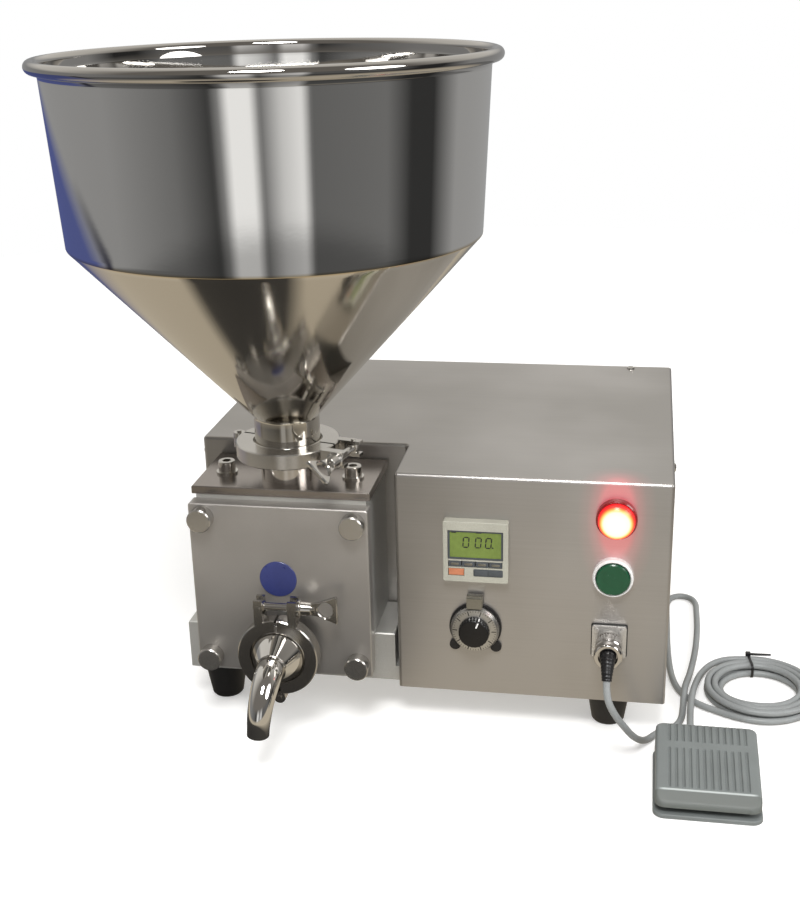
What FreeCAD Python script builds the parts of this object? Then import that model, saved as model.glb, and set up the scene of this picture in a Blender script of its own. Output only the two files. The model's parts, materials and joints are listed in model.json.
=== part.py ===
"""Table-top donut filler: hopper, rotor pump, cabinet with controls, and foot pedal.

Lengths are millimetres. Places are measured from the machine's datum: x from the
left edge of the control panel, y from the panel's front face, z from the table.
The document's origin lies on the table, under the middle of the machine with its pedal.
"""
import FreeCAD, Part
import math
import os
import Sketcher
from FreeCAD import Placement, Rotation, Vector

SIZES = [
    # cabinet
    ("cab_left", -165.0), ("cab_right", 201.0), ("cab_back", 293.0), ("cab_top", 205.0),
    ("cab_bottom", 29.5), ("panel_left", 0.0), ("panel_front", 0.0), ("bay_back", 63.5),
    ("sheet", 1.5), ("bend", 2.5), ("slip", 0.3),
    ("chassis_left", -168.5), ("chassis_front", 6.4), ("chassis_low", 31.3), ("chassis_thick", 11.8),
    ("lid_flange", 14.0), ("mains_flange", 2.5), ("vent_length", 52.0), ("vent_width", 4.0), ("vent_pitch", 10.0),
    ("foot_left", -146.5), ("foot_right", 159.0), ("foot_front", 26.0), ("foot_back", 266.0),
    ("foot_top_radius", 17.0), ("foot_base_radius", 12.5), ("foot_bore", 2.8), ("foot_recess", 6.0),
    ("foot_recess_depth", 17.0),
    # pump
    ("pump_axis", -83.5), ("inlet_y", 20.5), ("bar_right", -3.5), ("bar_top", 70.8),
    ("cover_side", 135.0), ("cover_level", 115.5), ("cover_front", -21.7), ("cover_thick", 12.0),
    ("stud_pitch", 114.0), ("stud_radius", 4.0), ("stud_grip", 13.0), ("knob_radius", 9.1),
    ("knob_length", 9.7), ("knob_bore_depth", 8.0), ("fit", 0.05), ("seat_gap", 0.1),
    ("block_width", 129.0), ("lid_width", 135.0), ("lid_front", -10.5), ("lid_back", 61.5),
    ("lid_top", 192.4), ("lid_thick", 6.0), ("lid_screw_pitch", 97.9),
    ("rotor_pitch", 46.2), ("rotor_level", 122.0), ("rotor_module", 4.6), ("rotor_length", 36.0),
    ("rotor_clearance", 0.2), ("shaft_radius", 8.0), ("outlet_level", 70.2),
    # drive
    ("gear_gap", 16.0), ("gear_side", 70.0), ("gear_length", 58.0), ("gear_bore_depth", 36.0),
    ("gear_chamfer", 3.0), ("motor_radius", 32.5), ("motor_bell", 34.0), ("motor_length", 106.0),
    ("bell_length", 6.0), ("bell_chamfer", 4.0),
    ("bracket_thick", 6.0), ("bracket_foot", 50.0), ("bracket_half", 38.0), ("shaft_grip", 30.0),
    ("shaft_room", 2.0),
    # lid screws
    ("screw_radius", 4.0), ("screw_head", 6.5), ("screw_head_length", 8.0), ("hexagon_radius", 3.5),
    ("hexagon_depth", 4.0), ("screw_room", 0.5), ("washer_radius", 8.2), ("washer_thick", 1.6),
    # hopper
    ("hopper_wall", 1.4), ("neck_radius", 24.4), ("neck_top", 241.1), ("mouth_radius", 152.3),
    ("cone_top", 374.8), ("drum_taper", 6.3), ("rim_flare", 4.0), ("rim_level", 494.8),
    ("bead_radius", 4.4), ("flare_drop", 7.4),
    ("inlet_tube", 21.3), ("inlet_bore", 19.5), ("inlet_joint", 216.0), ("inlet_flange", 32.0),
    ("inlet_clamp", 38.9), ("inlet_clamp_turn", -14.0),
    # outlet
    ("outlet_tube", 16.0), ("outlet_bore", 13.5), ("outlet_joint", -36.0), ("outlet_flange", 24.5),
    ("outlet_clamp", 30.5), ("reducer_radius", 19.6), ("nose_radius", 11.4), ("reducer_length", 15.0),
    ("bend_radius", 32.0), ("elbow_radius", 10.9), ("tip_radius", 8.1), ("tip_length", 4.0), ("nozzle_lean", 5.0),
    ("nozzle_wall", 1.2), ("nozzle_start", 6.0),
    # sanitary joints, the same at inlet and outlet
    ("gasket", 1.0), ("flange_rim", 2.0), ("flange_taper", 0.364), ("clamp_height", 11.8),
    ("clamp_gap", 0.3), ("clamp_slit", 2.0), ("lug_spread", 19.0), ("lug_thick", 6.5),
    ("lug_reach", 15.5), ("bolt_offset", 9.0), ("bolt_radius", 3.0), ("bolt_slot", 3.5),
    ("pin_radius", 1.75), ("eye_radius", 4.4), ("knuckle_radius", 4.5),
    ("wing_hub", 5.4), ("wing_hub_length", 11.0), ("wing_length", 19.0), ("wing_root", 4.5),
    ("wing_span", 11.0), ("wing_thick", 3.6), ("wing_border", 3.2),
    # panel
    ("timer_x", 60.4), ("timer_z", 148.2), ("timer_side", 48.0), ("timer_body", 44.6),
    ("timer_depth", 58.0), ("timer_proud", 7.0), ("timer_well", 2.4), ("key_travel", 0.6),
    ("key_proud", 1.0),
    ("dial_x", 59.6), ("dial_z", 85.2), ("dial_base", 19.6), ("dial_ring", 18.2), ("dial_knob", 11.8),
    ("lamp_x", 161.2), ("lamp_z", 178.0), ("button_x", 160.0), ("button_z", 132.6),
    ("bezel_radius", 14.7), ("barrel_radius", 11.0), ("barrel_length", 34.0), ("button_travel", 4.0),
    ("button_radius", 12.2), ("lamp_rim", 1.5),
    ("plug_x", 158.6), ("plug_z", 80.5), ("plug_flange", 25.0), ("plug_barrel", 8.6),
    ("plug_nut", 9.8), ("boot_radius", 6.2), ("boot_length", 22.0), ("boot_droop", 60.0),
    # cable, with its coil lying beside the cabinet
    ("cable_radius", 2.6), ("coil_x", 276.0), ("coil_y", 75.0), ("coil_inner", 26.0),
    ("coil_outer", 48.0), ("coil_height", 15.0), ("coil_round", 4.0),
    # pedal
    ("pedal_left", 193.5), ("pedal_right", 267.5), ("pedal_front", -101.5), ("pedal_rear", -18.0),
    ("pedal_height", 27.0), ("pedal_ridge", 17.5), ("pedal_nose", 13.0), ("pedal_wall", 2.2),
    ("pedal_foot", 3.0), ("pedal_skirt", 8.0), ("pedal_corner", 8.0), ("pedal_pivot_z", 10.5),
    ("pedal_pivot_in", 7.5), ("pedal_inset", 1.2), ("pivot_lug", 5.0), ("pivot_radius", 2.0),
    ("pivot_wall", 1.6), ("outlet_half", 6.0), ("switch_height", 12.0), ("switch_length", 28.0),
    ("switch_width", 10.0), ("plunger_height", 1.6), ("plunger_radius", 1.6),
    ("groove_width", 2.0), ("groove_depth", 1.2), ("groove_pitch", 4.9),
]

doc = FreeCAD.newDocument("DonutFiller")
sheet = doc.addObject("Spreadsheet::Sheet", "dims")
for row, (name, number) in enumerate(SIZES, 1):
    sheet.set("A%d" % row, name)
    sheet.set("B%d" % row, str(number))
    sheet.setAlias("B%d" % row, name)
doc.recompute()


class Size:
    """A length with the sheet formula that it comes from."""

    def __init__(self, value, text):
        self.value = value
        self.text = text

    def __add__(self, other):
        other = size(other)
        return Size(self.value + other.value, "(%s + %s)" % (self.text, other.text))

    def __sub__(self, other):
        other = size(other)
        return Size(self.value - other.value, "(%s - %s)" % (self.text, other.text))

    def __mul__(self, other):
        other = size(other)
        return Size(self.value * other.value, "(%s * %s)" % (self.text, other.text))

    def __truediv__(self, other):
        other = size(other)
        return Size(self.value / other.value, "(%s / %s)" % (self.text, other.text))

    def __neg__(self):
        return Size(-self.value, "(0 - %s)" % self.text)

    def __radd__(self, other):
        return size(other) + self

    def __rsub__(self, other):
        return size(other) - self

    def __rmul__(self, other):
        return size(other) * self


def size(number):
    """Turns a plain number into a Size, and leaves a Size as it is."""
    if isinstance(number, Size):
        return number
    return Size(float(number), repr(float(number)))


class Sheet:
    """Reads a named cell of the spreadsheet as a Size."""

    def __getattr__(self, name):
        return Size(float(sheet.get(name)), "dims.%s" % name)


d = Sheet()
NODES = []
PLANES = {"XY": ("XY_Plane", 1), "XZ": ("XZ_Plane", -1), "YZ": ("YZ_Plane", 1)}
FACING_FRONT = Rotation(Vector(1, 0, 0), 90)
FACING_BACK = Rotation(Vector(1, 0, 0), -90)
UPRIGHT = Rotation()
FACING_DOWN = Rotation(Vector(1, 0, 0), 180)


# ---------------------------------------------------------------- helpers

def node(obj, label):
    """Marks an object as a sub-part that is exported under its label."""
    obj.Label = label
    NODES.append(obj)
    return obj


def bind(obj, prop, length):
    obj.setExpression(prop, size(length).text)


def seat(obj, x, y, z, turn=UPRIGHT):
    """Places an object at a point given from the machine's datum."""
    spot = (size(x) - origin_x, size(y) - origin_y, size(z))
    obj.Placement = Placement(Vector(*[part.value for part in spot]), turn)
    for axis, part in zip("xyz", spot):
        bind(obj, "Placement.Base.%s" % axis, part)
    return obj


def new_body(label, x=0.0, y=0.0, z=0.0, turn=UPRIGHT):
    body = doc.addObject("PartDesign::Body", label)
    node(seat(body, x, y, z, turn), label)
    return body


def datum(body, role):
    return [item for item in body.Origin.OriginFeatures if item.Role == role][0]


def draw(body, plane, level, loops):
    """Draws closed loops on one of the body's planes: lists of corners, or circles (u, v, r)."""
    role, side = PLANES[plane]
    level = size(level) * side
    sketch = body.newObject("Sketcher::SketchObject", body.Name + "_sketch")
    sketch.AttachmentSupport = [(datum(body, role), "")]
    sketch.MapMode = "FlatFace"
    sketch.AttachmentOffset = Placement(Vector(0, 0, level.value), Rotation())
    bind(sketch, "AttachmentOffset.Base.z", level)
    for loop in loops:
        if isinstance(loop, tuple):
            draw_circle(sketch, *[size(part) for part in loop])
        else:
            draw_polygon(sketch, [(size(u), size(v)) for u, v in loop])
    return sketch


def fix(sketch, kind, edge, point, length):
    """Holds one coordinate of a sketch point at a sheet length."""
    number = sketch.addConstraint(Sketcher.Constraint(kind, -1, 1, edge, point, length.value))
    sketch.setExpression("Constraints[%d]" % number, length.text)


def draw_circle(sketch, u, v, radius):
    circle = Part.Circle(Vector(u.value, v.value, 0), Vector(0, 0, 1), radius.value)
    edge = sketch.addGeometry(circle, False)
    fix(sketch, "DistanceX", edge, 3, u)
    fix(sketch, "DistanceY", edge, 3, v)
    number = sketch.addConstraint(Sketcher.Constraint("Radius", edge, radius.value))
    sketch.setExpression("Constraints[%d]" % number, radius.text)


def draw_polygon(sketch, corners):
    points = [Vector(u.value, v.value, 0) for u, v in corners]
    lines = []
    for start, end in zip(points, points[1:] + points[:1]):
        lines.append(sketch.addGeometry(Part.LineSegment(start, end), False))
    for line, following in zip(lines, lines[1:] + lines[:1]):
        sketch.addConstraint(Sketcher.Constraint("Coincident", line, 2, following, 1))
    for line, (u, v) in zip(lines, corners):
        fix(sketch, "DistanceX", line, 1, u)
        fix(sketch, "DistanceY", line, 1, v)


def rectangle(u_low, u_high, v_low, v_high):
    return [(u_low, v_low), (u_high, v_low), (u_high, v_high), (u_low, v_high)]


def square(u, v, side):
    half = size(side) / 2
    return rectangle(u - half, u + half, v - half, v + half)


def pad(body, plane, low, high, *loops):
    """Raises the loops from one level of the plane's axis to a higher one."""
    feature = body.newObject("PartDesign::Pad", body.Name + "_pad")
    feature.Profile = draw(body, plane, low, loops)
    feature.Reversed = PLANES[plane][1] < 0
    bind(feature, "Length", size(high) - low)
    return feature


def pocket(body, plane, low, high, *loops):
    """Cuts the loops out between two levels of the plane's axis."""
    feature = body.newObject("PartDesign::Pocket", body.Name + "_pocket")
    feature.Profile = draw(body, plane, low, loops)
    feature.Reversed = PLANES[plane][1] > 0
    bind(feature, "Length", size(high) - low)
    return feature


def turn(body, *profile):
    """Revolves a profile of (radius, height) corners about the body's own z axis."""
    feature = body.newObject("PartDesign::Revolution", body.Name + "_turned")
    sketch = draw(body, "XZ", 0.0, [list(profile)])
    feature.Profile = sketch
    feature.ReferenceAxis = (sketch, ["V_Axis"])
    feature.Angle = 360
    return feature


def turn_bead(body, radius, height, bead):
    """Revolves a round wire of the given centre and radius about the body's z axis."""
    feature = body.newObject("PartDesign::Revolution", body.Name + "_bead")
    sketch = draw(body, "XZ", 0.0, [(radius, height, bead)])
    feature.Profile = sketch
    feature.ReferenceAxis = (sketch, ["V_Axis"])
    feature.Angle = 360
    return feature


def row_of(body, features, role, pitch, count):
    """Repeats features in a row along one of the body's axes."""
    feature = body.newObject("PartDesign::LinearPattern", body.Name + "_row")
    feature.Originals = features
    feature.Direction = (datum(body, role), [""])
    feature.Occurrences = count
    bind(feature, "Length", size(pitch) * (count - 1))
    body.Tip = feature
    return feature


def ring_of(body, features, count):
    """Repeats features around the body's z axis."""
    feature = body.newObject("PartDesign::PolarPattern", body.Name + "_ring")
    feature.Originals = features
    feature.Axis = (datum(body, "Z_Axis"), [""])
    feature.Angle = 360
    feature.Occurrences = count
    body.Tip = feature
    return feature


def soften(body, kind, amount, wanted):
    """Fillets or chamfers the edges of the body for which wanted(edge) is true."""
    doc.recompute()
    base = body.Tip
    names = ["Edge%d" % number for number, edge in enumerate(base.Shape.Edges, 1) if wanted(edge)]
    feature = body.newObject("PartDesign::%s" % kind, body.Name + "_" + kind.lower())
    feature.Base = (base, names)
    bind(feature, "Radius" if kind == "Fillet" else "Size", amount)
    return feature


def same(first, second):
    return abs(first - second) < 1e-4


def runs_along(edge, axis):
    """Tells whether an edge is straight and parallel to an axis of the body."""
    ends = [vertex.Point for vertex in edge.Vertexes]
    if len(ends) < 2 or edge.Curve.TypeId != "Part::GeomLine":
        return False
    others = [name for name in "xyz" if name != axis]
    return all(same(getattr(ends[0], name), getattr(ends[1], name)) for name in others)


def lies_at(edge, axis, level):
    """Tells whether an edge lies at one level of an axis of the body."""
    box = edge.BoundBox
    low, high = {"x": (box.XMin, box.XMax), "y": (box.YMin, box.YMax), "z": (box.ZMin, box.ZMax)}[axis]
    level = size(level).value
    return abs(low - level) < 1e-3 and abs(high - level) < 1e-3


def block(name, x_low, x_high, y_low, y_high, z_low, z_high):
    box = doc.addObject("Part::Box", name)
    bind(box, "Length", size(x_high) - x_low)
    bind(box, "Width", size(y_high) - y_low)
    bind(box, "Height", size(z_high) - z_low)
    return seat(box, x_low, y_low, z_low)


def rod(name, radius, length, x, y, z, facing=UPRIGHT):
    cylinder = doc.addObject("Part::Cylinder", name)
    bind(cylinder, "Radius", radius)
    bind(cylinder, "Height", length)
    return seat(cylinder, x, y, z, facing)


def fuse(name, *shapes):
    joined = doc.addObject("Part::MultiFuse", name)
    joined.Shapes = list(shapes)
    return joined


def cut(name, base, *tools):
    """Takes the tools away from the base."""
    removed = doc.addObject("Part::Cut", name)
    removed.Base = base
    removed.Tool = tools[0] if len(tools) == 1 else fuse(name + "_tools", *tools)
    return removed


def copies(label, *sets):
    """Sets out copies of hidden pattern pieces, as separate solids of one sub-part."""
    links = []
    for pattern, spots in sets:
        NODES.remove(pattern)
        for x, y, z, facing in spots:
            link = doc.addObject("App::Link", label + "_copy")
            link.LinkedObject = pattern
            links.append(seat(link, x, y, z, facing))
    return gather(label, *links)


def gather(label, *pieces):
    """Joins pieces into one sub-part that keeps them as separate solids."""
    group = doc.addObject("Part::Compound", label)
    group.Links = list(pieces)
    return node(group, label)


# ---------------------------------------------------------------- sizes that follow from others

cone_radius = d.mouth_radius - d.drum_taper
rim_radius = d.mouth_radius + d.rim_flare
origin_x = (d.pump_axis - rim_radius - d.bead_radius + d.pedal_right) / 2
origin_y = (d.inlet_y - rim_radius - d.bead_radius + d.cab_back + d.mains_flange) / 2
chassis_top = d.chassis_low + d.chassis_thick
cover_back = d.cover_front + d.cover_thick
cover_half = d.cover_side / 2
cover_low = d.cover_level - cover_half
block_half = d.block_width / 2
block_top = d.lid_top - d.lid_thick
stud_half = d.stud_pitch / 2
rotor_tip_radius = d.rotor_module * 5.9
chamber_radius = rotor_tip_radius + d.rotor_clearance
chamber_back = cover_back + d.rotor_length + d.rotor_clearance * 2
drive_x = d.pump_axis + d.rotor_pitch / 2
idler_x = d.pump_axis - d.rotor_pitch / 2
idler_end = d.bay_back - 6.0
head_front = d.bay_back + d.gear_gap
stud_spots = [(d.pump_axis + side * stud_half, d.cover_level + rise * stud_half)
              for rise in (-1, 1) for side in (-1, 1)]
lid_screw_x = [d.pump_axis - d.lid_screw_pitch / 2, d.pump_axis + d.lid_screw_pitch / 2]
mains_x = d.cab_right - 60.0
mains_z = d.cab_bottom + 45.0
display_low = size(-6.0)
display_high = size(17.0)
key_faces = [("timer_key_%d" % number, -19.8 + 10.0 * place, -10.4 + 10.0 * place, -11.6, -7.2)
             for place, number in enumerate((1, 2, 3, 4))]
key_faces.append(("timer_key_reset", -19.8, -8.4, -18.6, -13.2))
key_wells = [(low - 0.3, high + 0.3, left - 0.3, right + 0.3) for _, left, right, low, high in key_faces]
dial_spindle = size(3.0)
boot_start = d.panel_front - 25.0
boot_reach = d.boot_length / math.radians(d.boot_droop.value)
pivot_y = d.pedal_rear - d.pedal_pivot_in
pedal_cable_x = size(221.0)
outlet_z = size(8.0)
foot_spots = [(x, y) for x in (d.foot_left, d.foot_right) for y in (d.foot_front, d.foot_back)]


# ---------------------------------------------------------------- cabinet

def cabinet_shell():
    """Folded stainless shell: an L in plan, closed on top, open below and behind."""
    body = new_body("cabinet_shell")
    pad(body, "XY", d.cab_bottom, d.cab_top, [
        (d.cab_left, d.bay_back), (d.panel_left, d.bay_back), (d.panel_left, d.panel_front),
        (d.cab_right, d.panel_front), (d.cab_right, d.cab_back), (d.cab_left, d.cab_back)])
    behind = d.cab_back.value

    def folded(edge):
        if lies_at(edge, "y", behind):
            return False
        return runs_along(edge, "z") or lies_at(edge, "z", d.cab_top)

    soften(body, "Fillet", d.bend, folded)
    beyond = d.cab_back + d.sheet
    pocket(body, "XY", d.cab_bottom, d.cab_top - d.sheet, [
        (d.cab_left + d.sheet, d.bay_back + d.sheet), (d.panel_left + d.sheet, d.bay_back + d.sheet),
        (d.panel_left + d.sheet, d.panel_front + d.sheet), (d.cab_right - d.sheet, d.panel_front + d.sheet),
        (d.cab_right - d.sheet, beyond), (d.cab_left + d.sheet, beyond)])
    under = chassis_top + d.slip
    pocket(body, "XY", d.cab_bottom, under, [
        (d.cab_left + d.sheet, d.bay_back - d.sheet), (d.panel_left - d.sheet, d.bay_back - d.sheet),
        (d.panel_left - d.sheet, d.chassis_front - d.slip), (d.panel_left + d.sheet * 2, d.chassis_front - d.slip),
        (d.panel_left + d.sheet * 2, d.bay_back + d.sheet * 2), (d.cab_left + d.sheet, d.bay_back + d.sheet * 2)])
    pocket(body, "XZ", d.panel_front - d.sheet, d.panel_front + d.sheet * 2,
           square(d.timer_x, d.timer_z, d.timer_body + d.slip * 2),
           (d.dial_x, d.dial_z, 4.9),
           (d.lamp_x, d.lamp_z, d.barrel_radius + d.slip / 2),
           (d.button_x, d.button_z, d.barrel_radius + d.slip / 2),
           (d.plug_x, d.plug_z, d.plug_barrel + d.slip))
    pocket(body, "XZ", d.bay_back - d.sheet, d.bay_back + d.sheet * 2,
           (drive_x, d.rotor_level, d.shaft_radius + 1.5))
    return body


def rear_panel():
    """Back sheet with a flange under the top sheet, louvre slots and the mains cut-out."""
    body = new_body("rear_panel")
    low_x = d.cab_left + d.sheet + d.slip
    high_x = d.cab_right - d.sheet - d.slip
    inner = d.cab_back - d.sheet
    top = d.cab_top - d.sheet - d.slip
    pad(body, "YZ", low_x, high_x, [
        (inner - d.lid_flange, top - d.sheet), (inner, top - d.sheet), (inner, d.cab_bottom),
        (d.cab_back, d.cab_bottom), (d.cab_back, top), (inner - d.lid_flange, top)])
    first_x = d.cab_left + 60.0
    first_z = d.cab_bottom + 60.0
    slot = pocket(body, "XZ", inner - d.sheet, d.cab_back + d.sheet, rectangle(
        first_x, first_x + d.vent_length, first_z, first_z + d.vent_width))
    row_of(body, [slot], "Z_Axis", d.vent_pitch, 7)
    pocket(body, "XZ", inner - d.sheet, d.cab_back + d.sheet, rectangle(
        mains_x - 14.0, mains_x + 14.0, mains_z - 10.0, mains_z + 10.0))
    return body


def chassis_plate():
    """Thick base plate that carries the pump, the motor and the feet."""
    body = new_body("chassis_plate")
    side = d.sheet + d.slip
    pad(body, "XY", d.chassis_low, chassis_top, [
        (d.chassis_left, d.chassis_front), (d.cab_right - side, d.chassis_front),
        (d.cab_right - side, d.cab_back - side), (d.cab_left + side, d.cab_back - side),
        (d.cab_left + side, d.bay_back - side), (d.chassis_left, d.bay_back - side)])
    pocket(body, "XY", d.chassis_low, chassis_top, *[(x, y, d.foot_bore) for x, y in foot_spots])
    return body


def rubber_feet():
    """Four tapered rubber feet, each hollow below for its screw."""
    foot = new_body("foot")
    step = d.foot_recess_depth
    turn(foot, (d.foot_bore, step), (d.foot_recess, step), (d.foot_recess, 0.0),
         (d.foot_base_radius - 1.2, 0.0), (d.foot_base_radius, 1.5),
         (d.foot_top_radius, d.chassis_low - 3.0), (d.foot_top_radius, d.chassis_low),
         (d.foot_bore, d.chassis_low))
    return copies("rubber_feet", (foot, [(x, y, 0.0, UPRIGHT) for x, y in foot_spots]))


def cabinet_screws():
    """Button-head screws on the shell, and pan-head screws up through the feet."""
    button = new_body("button_screw")
    turn(button, (0.0, 0.0), (3.7, 0.0), (3.4, 1.2), (2.2, 2.0), (0.0, 2.2))
    left = Rotation(Vector(0, 1, 0), -90)
    right = Rotation(Vector(0, 1, 0), 90)
    spots = [(x, d.cab_back - 7.0, d.cab_top, UPRIGHT) for x in (d.cab_left + 36.0, d.cab_right - 36.0)]
    for z in (chassis_top - 6.0, d.cab_top - 14.0):
        spots.append((d.cab_left, d.bay_back + 9.0, z, left))
        spots.append((d.cab_right, d.bay_back + 9.0, z, right))
    pan = new_body("pan_screw")
    reach = chassis_top - d.foot_recess_depth
    turn(pan, (0.0, -3.4), (3.2, -3.4), (4.6, -1.6), (4.6, 0.0), (2.5, 0.0), (2.5, reach), (0.0, reach))
    feet = [(x, y, d.foot_recess_depth, UPRIGHT) for x, y in foot_spots]
    return copies("cabinet_screws", (button, spots), (pan, feet))


def mains_inlet():
    """Appliance inlet in the rear panel: flange, housing with an open well, and three blades."""
    flange = block("mains_flange", mains_x - 25.0, mains_x + 25.0, d.cab_back, d.cab_back + d.mains_flange,
                   mains_z - 12.5, mains_z + 12.5)
    housing = block("mains_housing", mains_x - 13.7, mains_x + 13.7, d.cab_back - 18.0, d.cab_back + 1.0,
                    mains_z - 9.7, mains_z + 9.7)
    well = block("mains_well", mains_x - 12.0, mains_x + 12.0, d.cab_back - 15.0, d.cab_back + 4.0,
                 mains_z - 8.0, mains_z + 8.0)
    blades = []
    for shift_x, shift_z in ((-7.0, -2.0), (0.0, 2.0), (7.0, -2.0)):
        blades.append(block("mains_blade", mains_x + shift_x - 1.0, mains_x + shift_x + 1.0,
                            d.cab_back - 16.0, d.cab_back - 2.0,
                            mains_z + shift_z - 2.0, mains_z + shift_z + 2.0))
    open_well = cut("mains_open", fuse("mains_solid", flange, housing), well)
    return node(fuse("mains_inlet", open_well, *blades), "mains_inlet")


# ---------------------------------------------------------------- drive

def gear_motor():
    """Gear head with a hollow output, and the motor can with its end bells behind it."""
    body = new_body("gear_head")
    back = head_front + d.gear_length
    pad(body, "XZ", head_front, back, square(drive_x, d.rotor_level, d.gear_side))
    soften(body, "Chamfer", d.gear_chamfer, lambda edge: runs_along(edge, "y"))
    pocket(body, "XZ", head_front, head_front + d.gear_bore_depth,
           (drive_x, d.rotor_level, d.shaft_radius + d.fit))
    can = new_body("motor_can", drive_x, back, d.rotor_level, FACING_BACK)
    rear_bell = d.motor_length - d.bell_length - d.bell_chamfer * 2
    turn(can, (0.0, 0.0), (d.motor_bell, 0.0), (d.motor_bell, d.bell_length), (d.motor_radius, d.bell_length),
         (d.motor_radius, rear_bell), (d.motor_bell, rear_bell), (d.motor_bell, d.motor_length - d.bell_chamfer),
         (d.motor_bell - d.bell_chamfer, d.motor_length), (0.0, d.motor_length))
    NODES.remove(body)
    NODES.remove(can)
    return gather("gear_motor", body, can)


def motor_bracket():
    """Angle bracket that holds the gear head on the base plate."""
    body = new_body("motor_bracket")
    thick = d.bracket_thick
    foot = head_front + d.bracket_foot
    top = d.rotor_level + d.bracket_half
    pad(body, "YZ", drive_x - d.bracket_half, drive_x + d.bracket_half, [
        (head_front - thick, chassis_top), (foot, chassis_top), (foot, chassis_top + thick),
        (head_front, chassis_top + thick), (head_front, top), (head_front - thick, top)])
    pocket(body, "XZ", head_front - thick * 2, head_front + thick,
           (drive_x, d.rotor_level, d.shaft_radius + d.shaft_room))
    return body


# ---------------------------------------------------------------- pump

def base_bar():
    """Solid bar on the base plate that the pump block stands on."""
    body = new_body("base_bar")
    pad(body, "XY", chassis_top, d.bar_top,
        rectangle(d.chassis_left, d.bar_right, d.chassis_front, d.bay_back - d.sheet - d.slip))
    soften(body, "Chamfer", 0.8, lambda edge: lies_at(edge, "z", d.bar_top))
    return body


def pump_block():
    """Pump housing: rotor chamber open to the front, inlet from above, outlet well below."""
    body = new_body("pump_block")
    left = d.pump_axis - block_half
    right = d.pump_axis + block_half
    pad(body, "XZ", cover_back, d.chassis_front, rectangle(left, right, cover_low, block_top))
    pad(body, "XZ", d.chassis_front, d.bay_back, rectangle(left, right, d.bar_top, block_top))
    for x in (drive_x, idler_x):
        pocket(body, "XZ", cover_back, chamber_back, (x, d.rotor_level, chamber_radius))
    port = d.outlet_bore
    pocket(body, "XZ", cover_back, cover_back + 12.0,
           rectangle(d.pump_axis - port, d.pump_axis + port, d.outlet_level - port, d.rotor_level))
    pocket(body, "XZ", cover_back + 12.0, chamber_back,
           rectangle(d.pump_axis - port, d.pump_axis + port, d.bar_top + 14.0, d.rotor_level))
    pocket(body, "XY", d.rotor_level, block_top, (d.pump_axis, d.inlet_y, d.inlet_bore))
    pocket(body, "XZ", chamber_back, d.bay_back, (drive_x, d.rotor_level, d.shaft_radius + d.fit))
    pocket(body, "XZ", chamber_back, idler_end + d.slip, (idler_x, d.rotor_level, d.shaft_radius + d.fit))
    pocket(body, "XZ", cover_back, cover_back + d.stud_grip,
           *[(x, z, d.stud_radius) for x, z in stud_spots])
    return body


def rotor_profile(module, teeth, pressure, addendum, thinning, phase):
    """Closed outline of a spur rotor with involute flanks, its first tooth at an angle to +x."""
    pitch_radius = module * teeth / 2
    base_radius = pitch_radius * math.cos(pressure)
    tip_radius = pitch_radius + module * addendum
    root_radius = pitch_radius - module * 1.2
    half_tooth = math.pi / (2 * teeth) - thinning / pitch_radius + math.tan(pressure) - pressure
    last_roll = math.sqrt((tip_radius / base_radius) ** 2 - 1)

    def polar(radius, angle):
        return Vector(radius * math.cos(angle), radius * math.sin(angle), 0)

    def flank(side, centre):
        points = []
        for step in range(9):
            roll = last_roll * step / 8
            radius = base_radius * math.sqrt(1 + roll * roll)
            swing = roll - math.atan(roll)
            points.append(polar(radius, centre + side * (half_tooth - swing)))
        return points

    edges = []
    for tooth in range(teeth):
        centre = 2 * math.pi * tooth / teeth + phase
        rising = flank(-1, centre)
        falling = flank(1, centre)[::-1]
        foot_in = polar(root_radius, centre - half_tooth)
        foot_out = polar(root_radius, centre + half_tooth)
        next_foot = polar(root_radius, centre + 2 * math.pi / teeth - half_tooth)
        edges.append(Part.makeLine(foot_in, rising[0]))
        for points in (rising, falling):
            curve = Part.BSplineCurve()
            curve.interpolate(points)
            edges.append(curve.toShape())
            if points is rising:
                edges.append(Part.Arc(rising[-1], polar(tip_radius, centre), falling[0]).toShape())
        edges.append(Part.makeLine(falling[-1], foot_out))
        middle = polar(root_radius, centre + math.pi / teeth)
        edges.append(Part.Arc(foot_out, middle, next_foot).toShape())
    return Part.Face(Part.Wire(edges))


def rotor(label, x, half_pitches):
    """Toothed pump rotor bored for its shaft; the pair stands in mesh at rest."""
    teeth = 10
    phase = half_pitches * math.pi / teeth
    face = rotor_profile(d.rotor_module.value, teeth, math.radians(28.0), 0.9, 0.12, phase)
    solid = face.extrude(Vector(0, 0, d.rotor_length.value))
    solid = solid.cut(Part.makeCylinder(d.shaft_radius.value, d.rotor_length.value * 3,
                                        Vector(0, 0, -d.rotor_length.value)))
    piece = doc.addObject("Part::Feature", label)
    piece.Shape = solid
    rear = cover_back + d.rotor_clearance + d.rotor_length
    return node(seat(piece, x, rear, d.rotor_level, FACING_FRONT), label)


def shafts():
    """Rotor shafts: the long one reaches into the gear head, the short one ends in the block."""
    front = cover_back + d.rotor_clearance
    drive_end = head_front + d.shaft_grip
    node(rod("drive_shaft", d.shaft_radius, drive_end - front, drive_x, drive_end, d.rotor_level,
             FACING_FRONT), "drive_shaft")
    node(rod("idler_shaft", d.shaft_radius, idler_end - front, idler_x, idler_end, d.rotor_level,
             FACING_FRONT), "idler_shaft")


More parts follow.
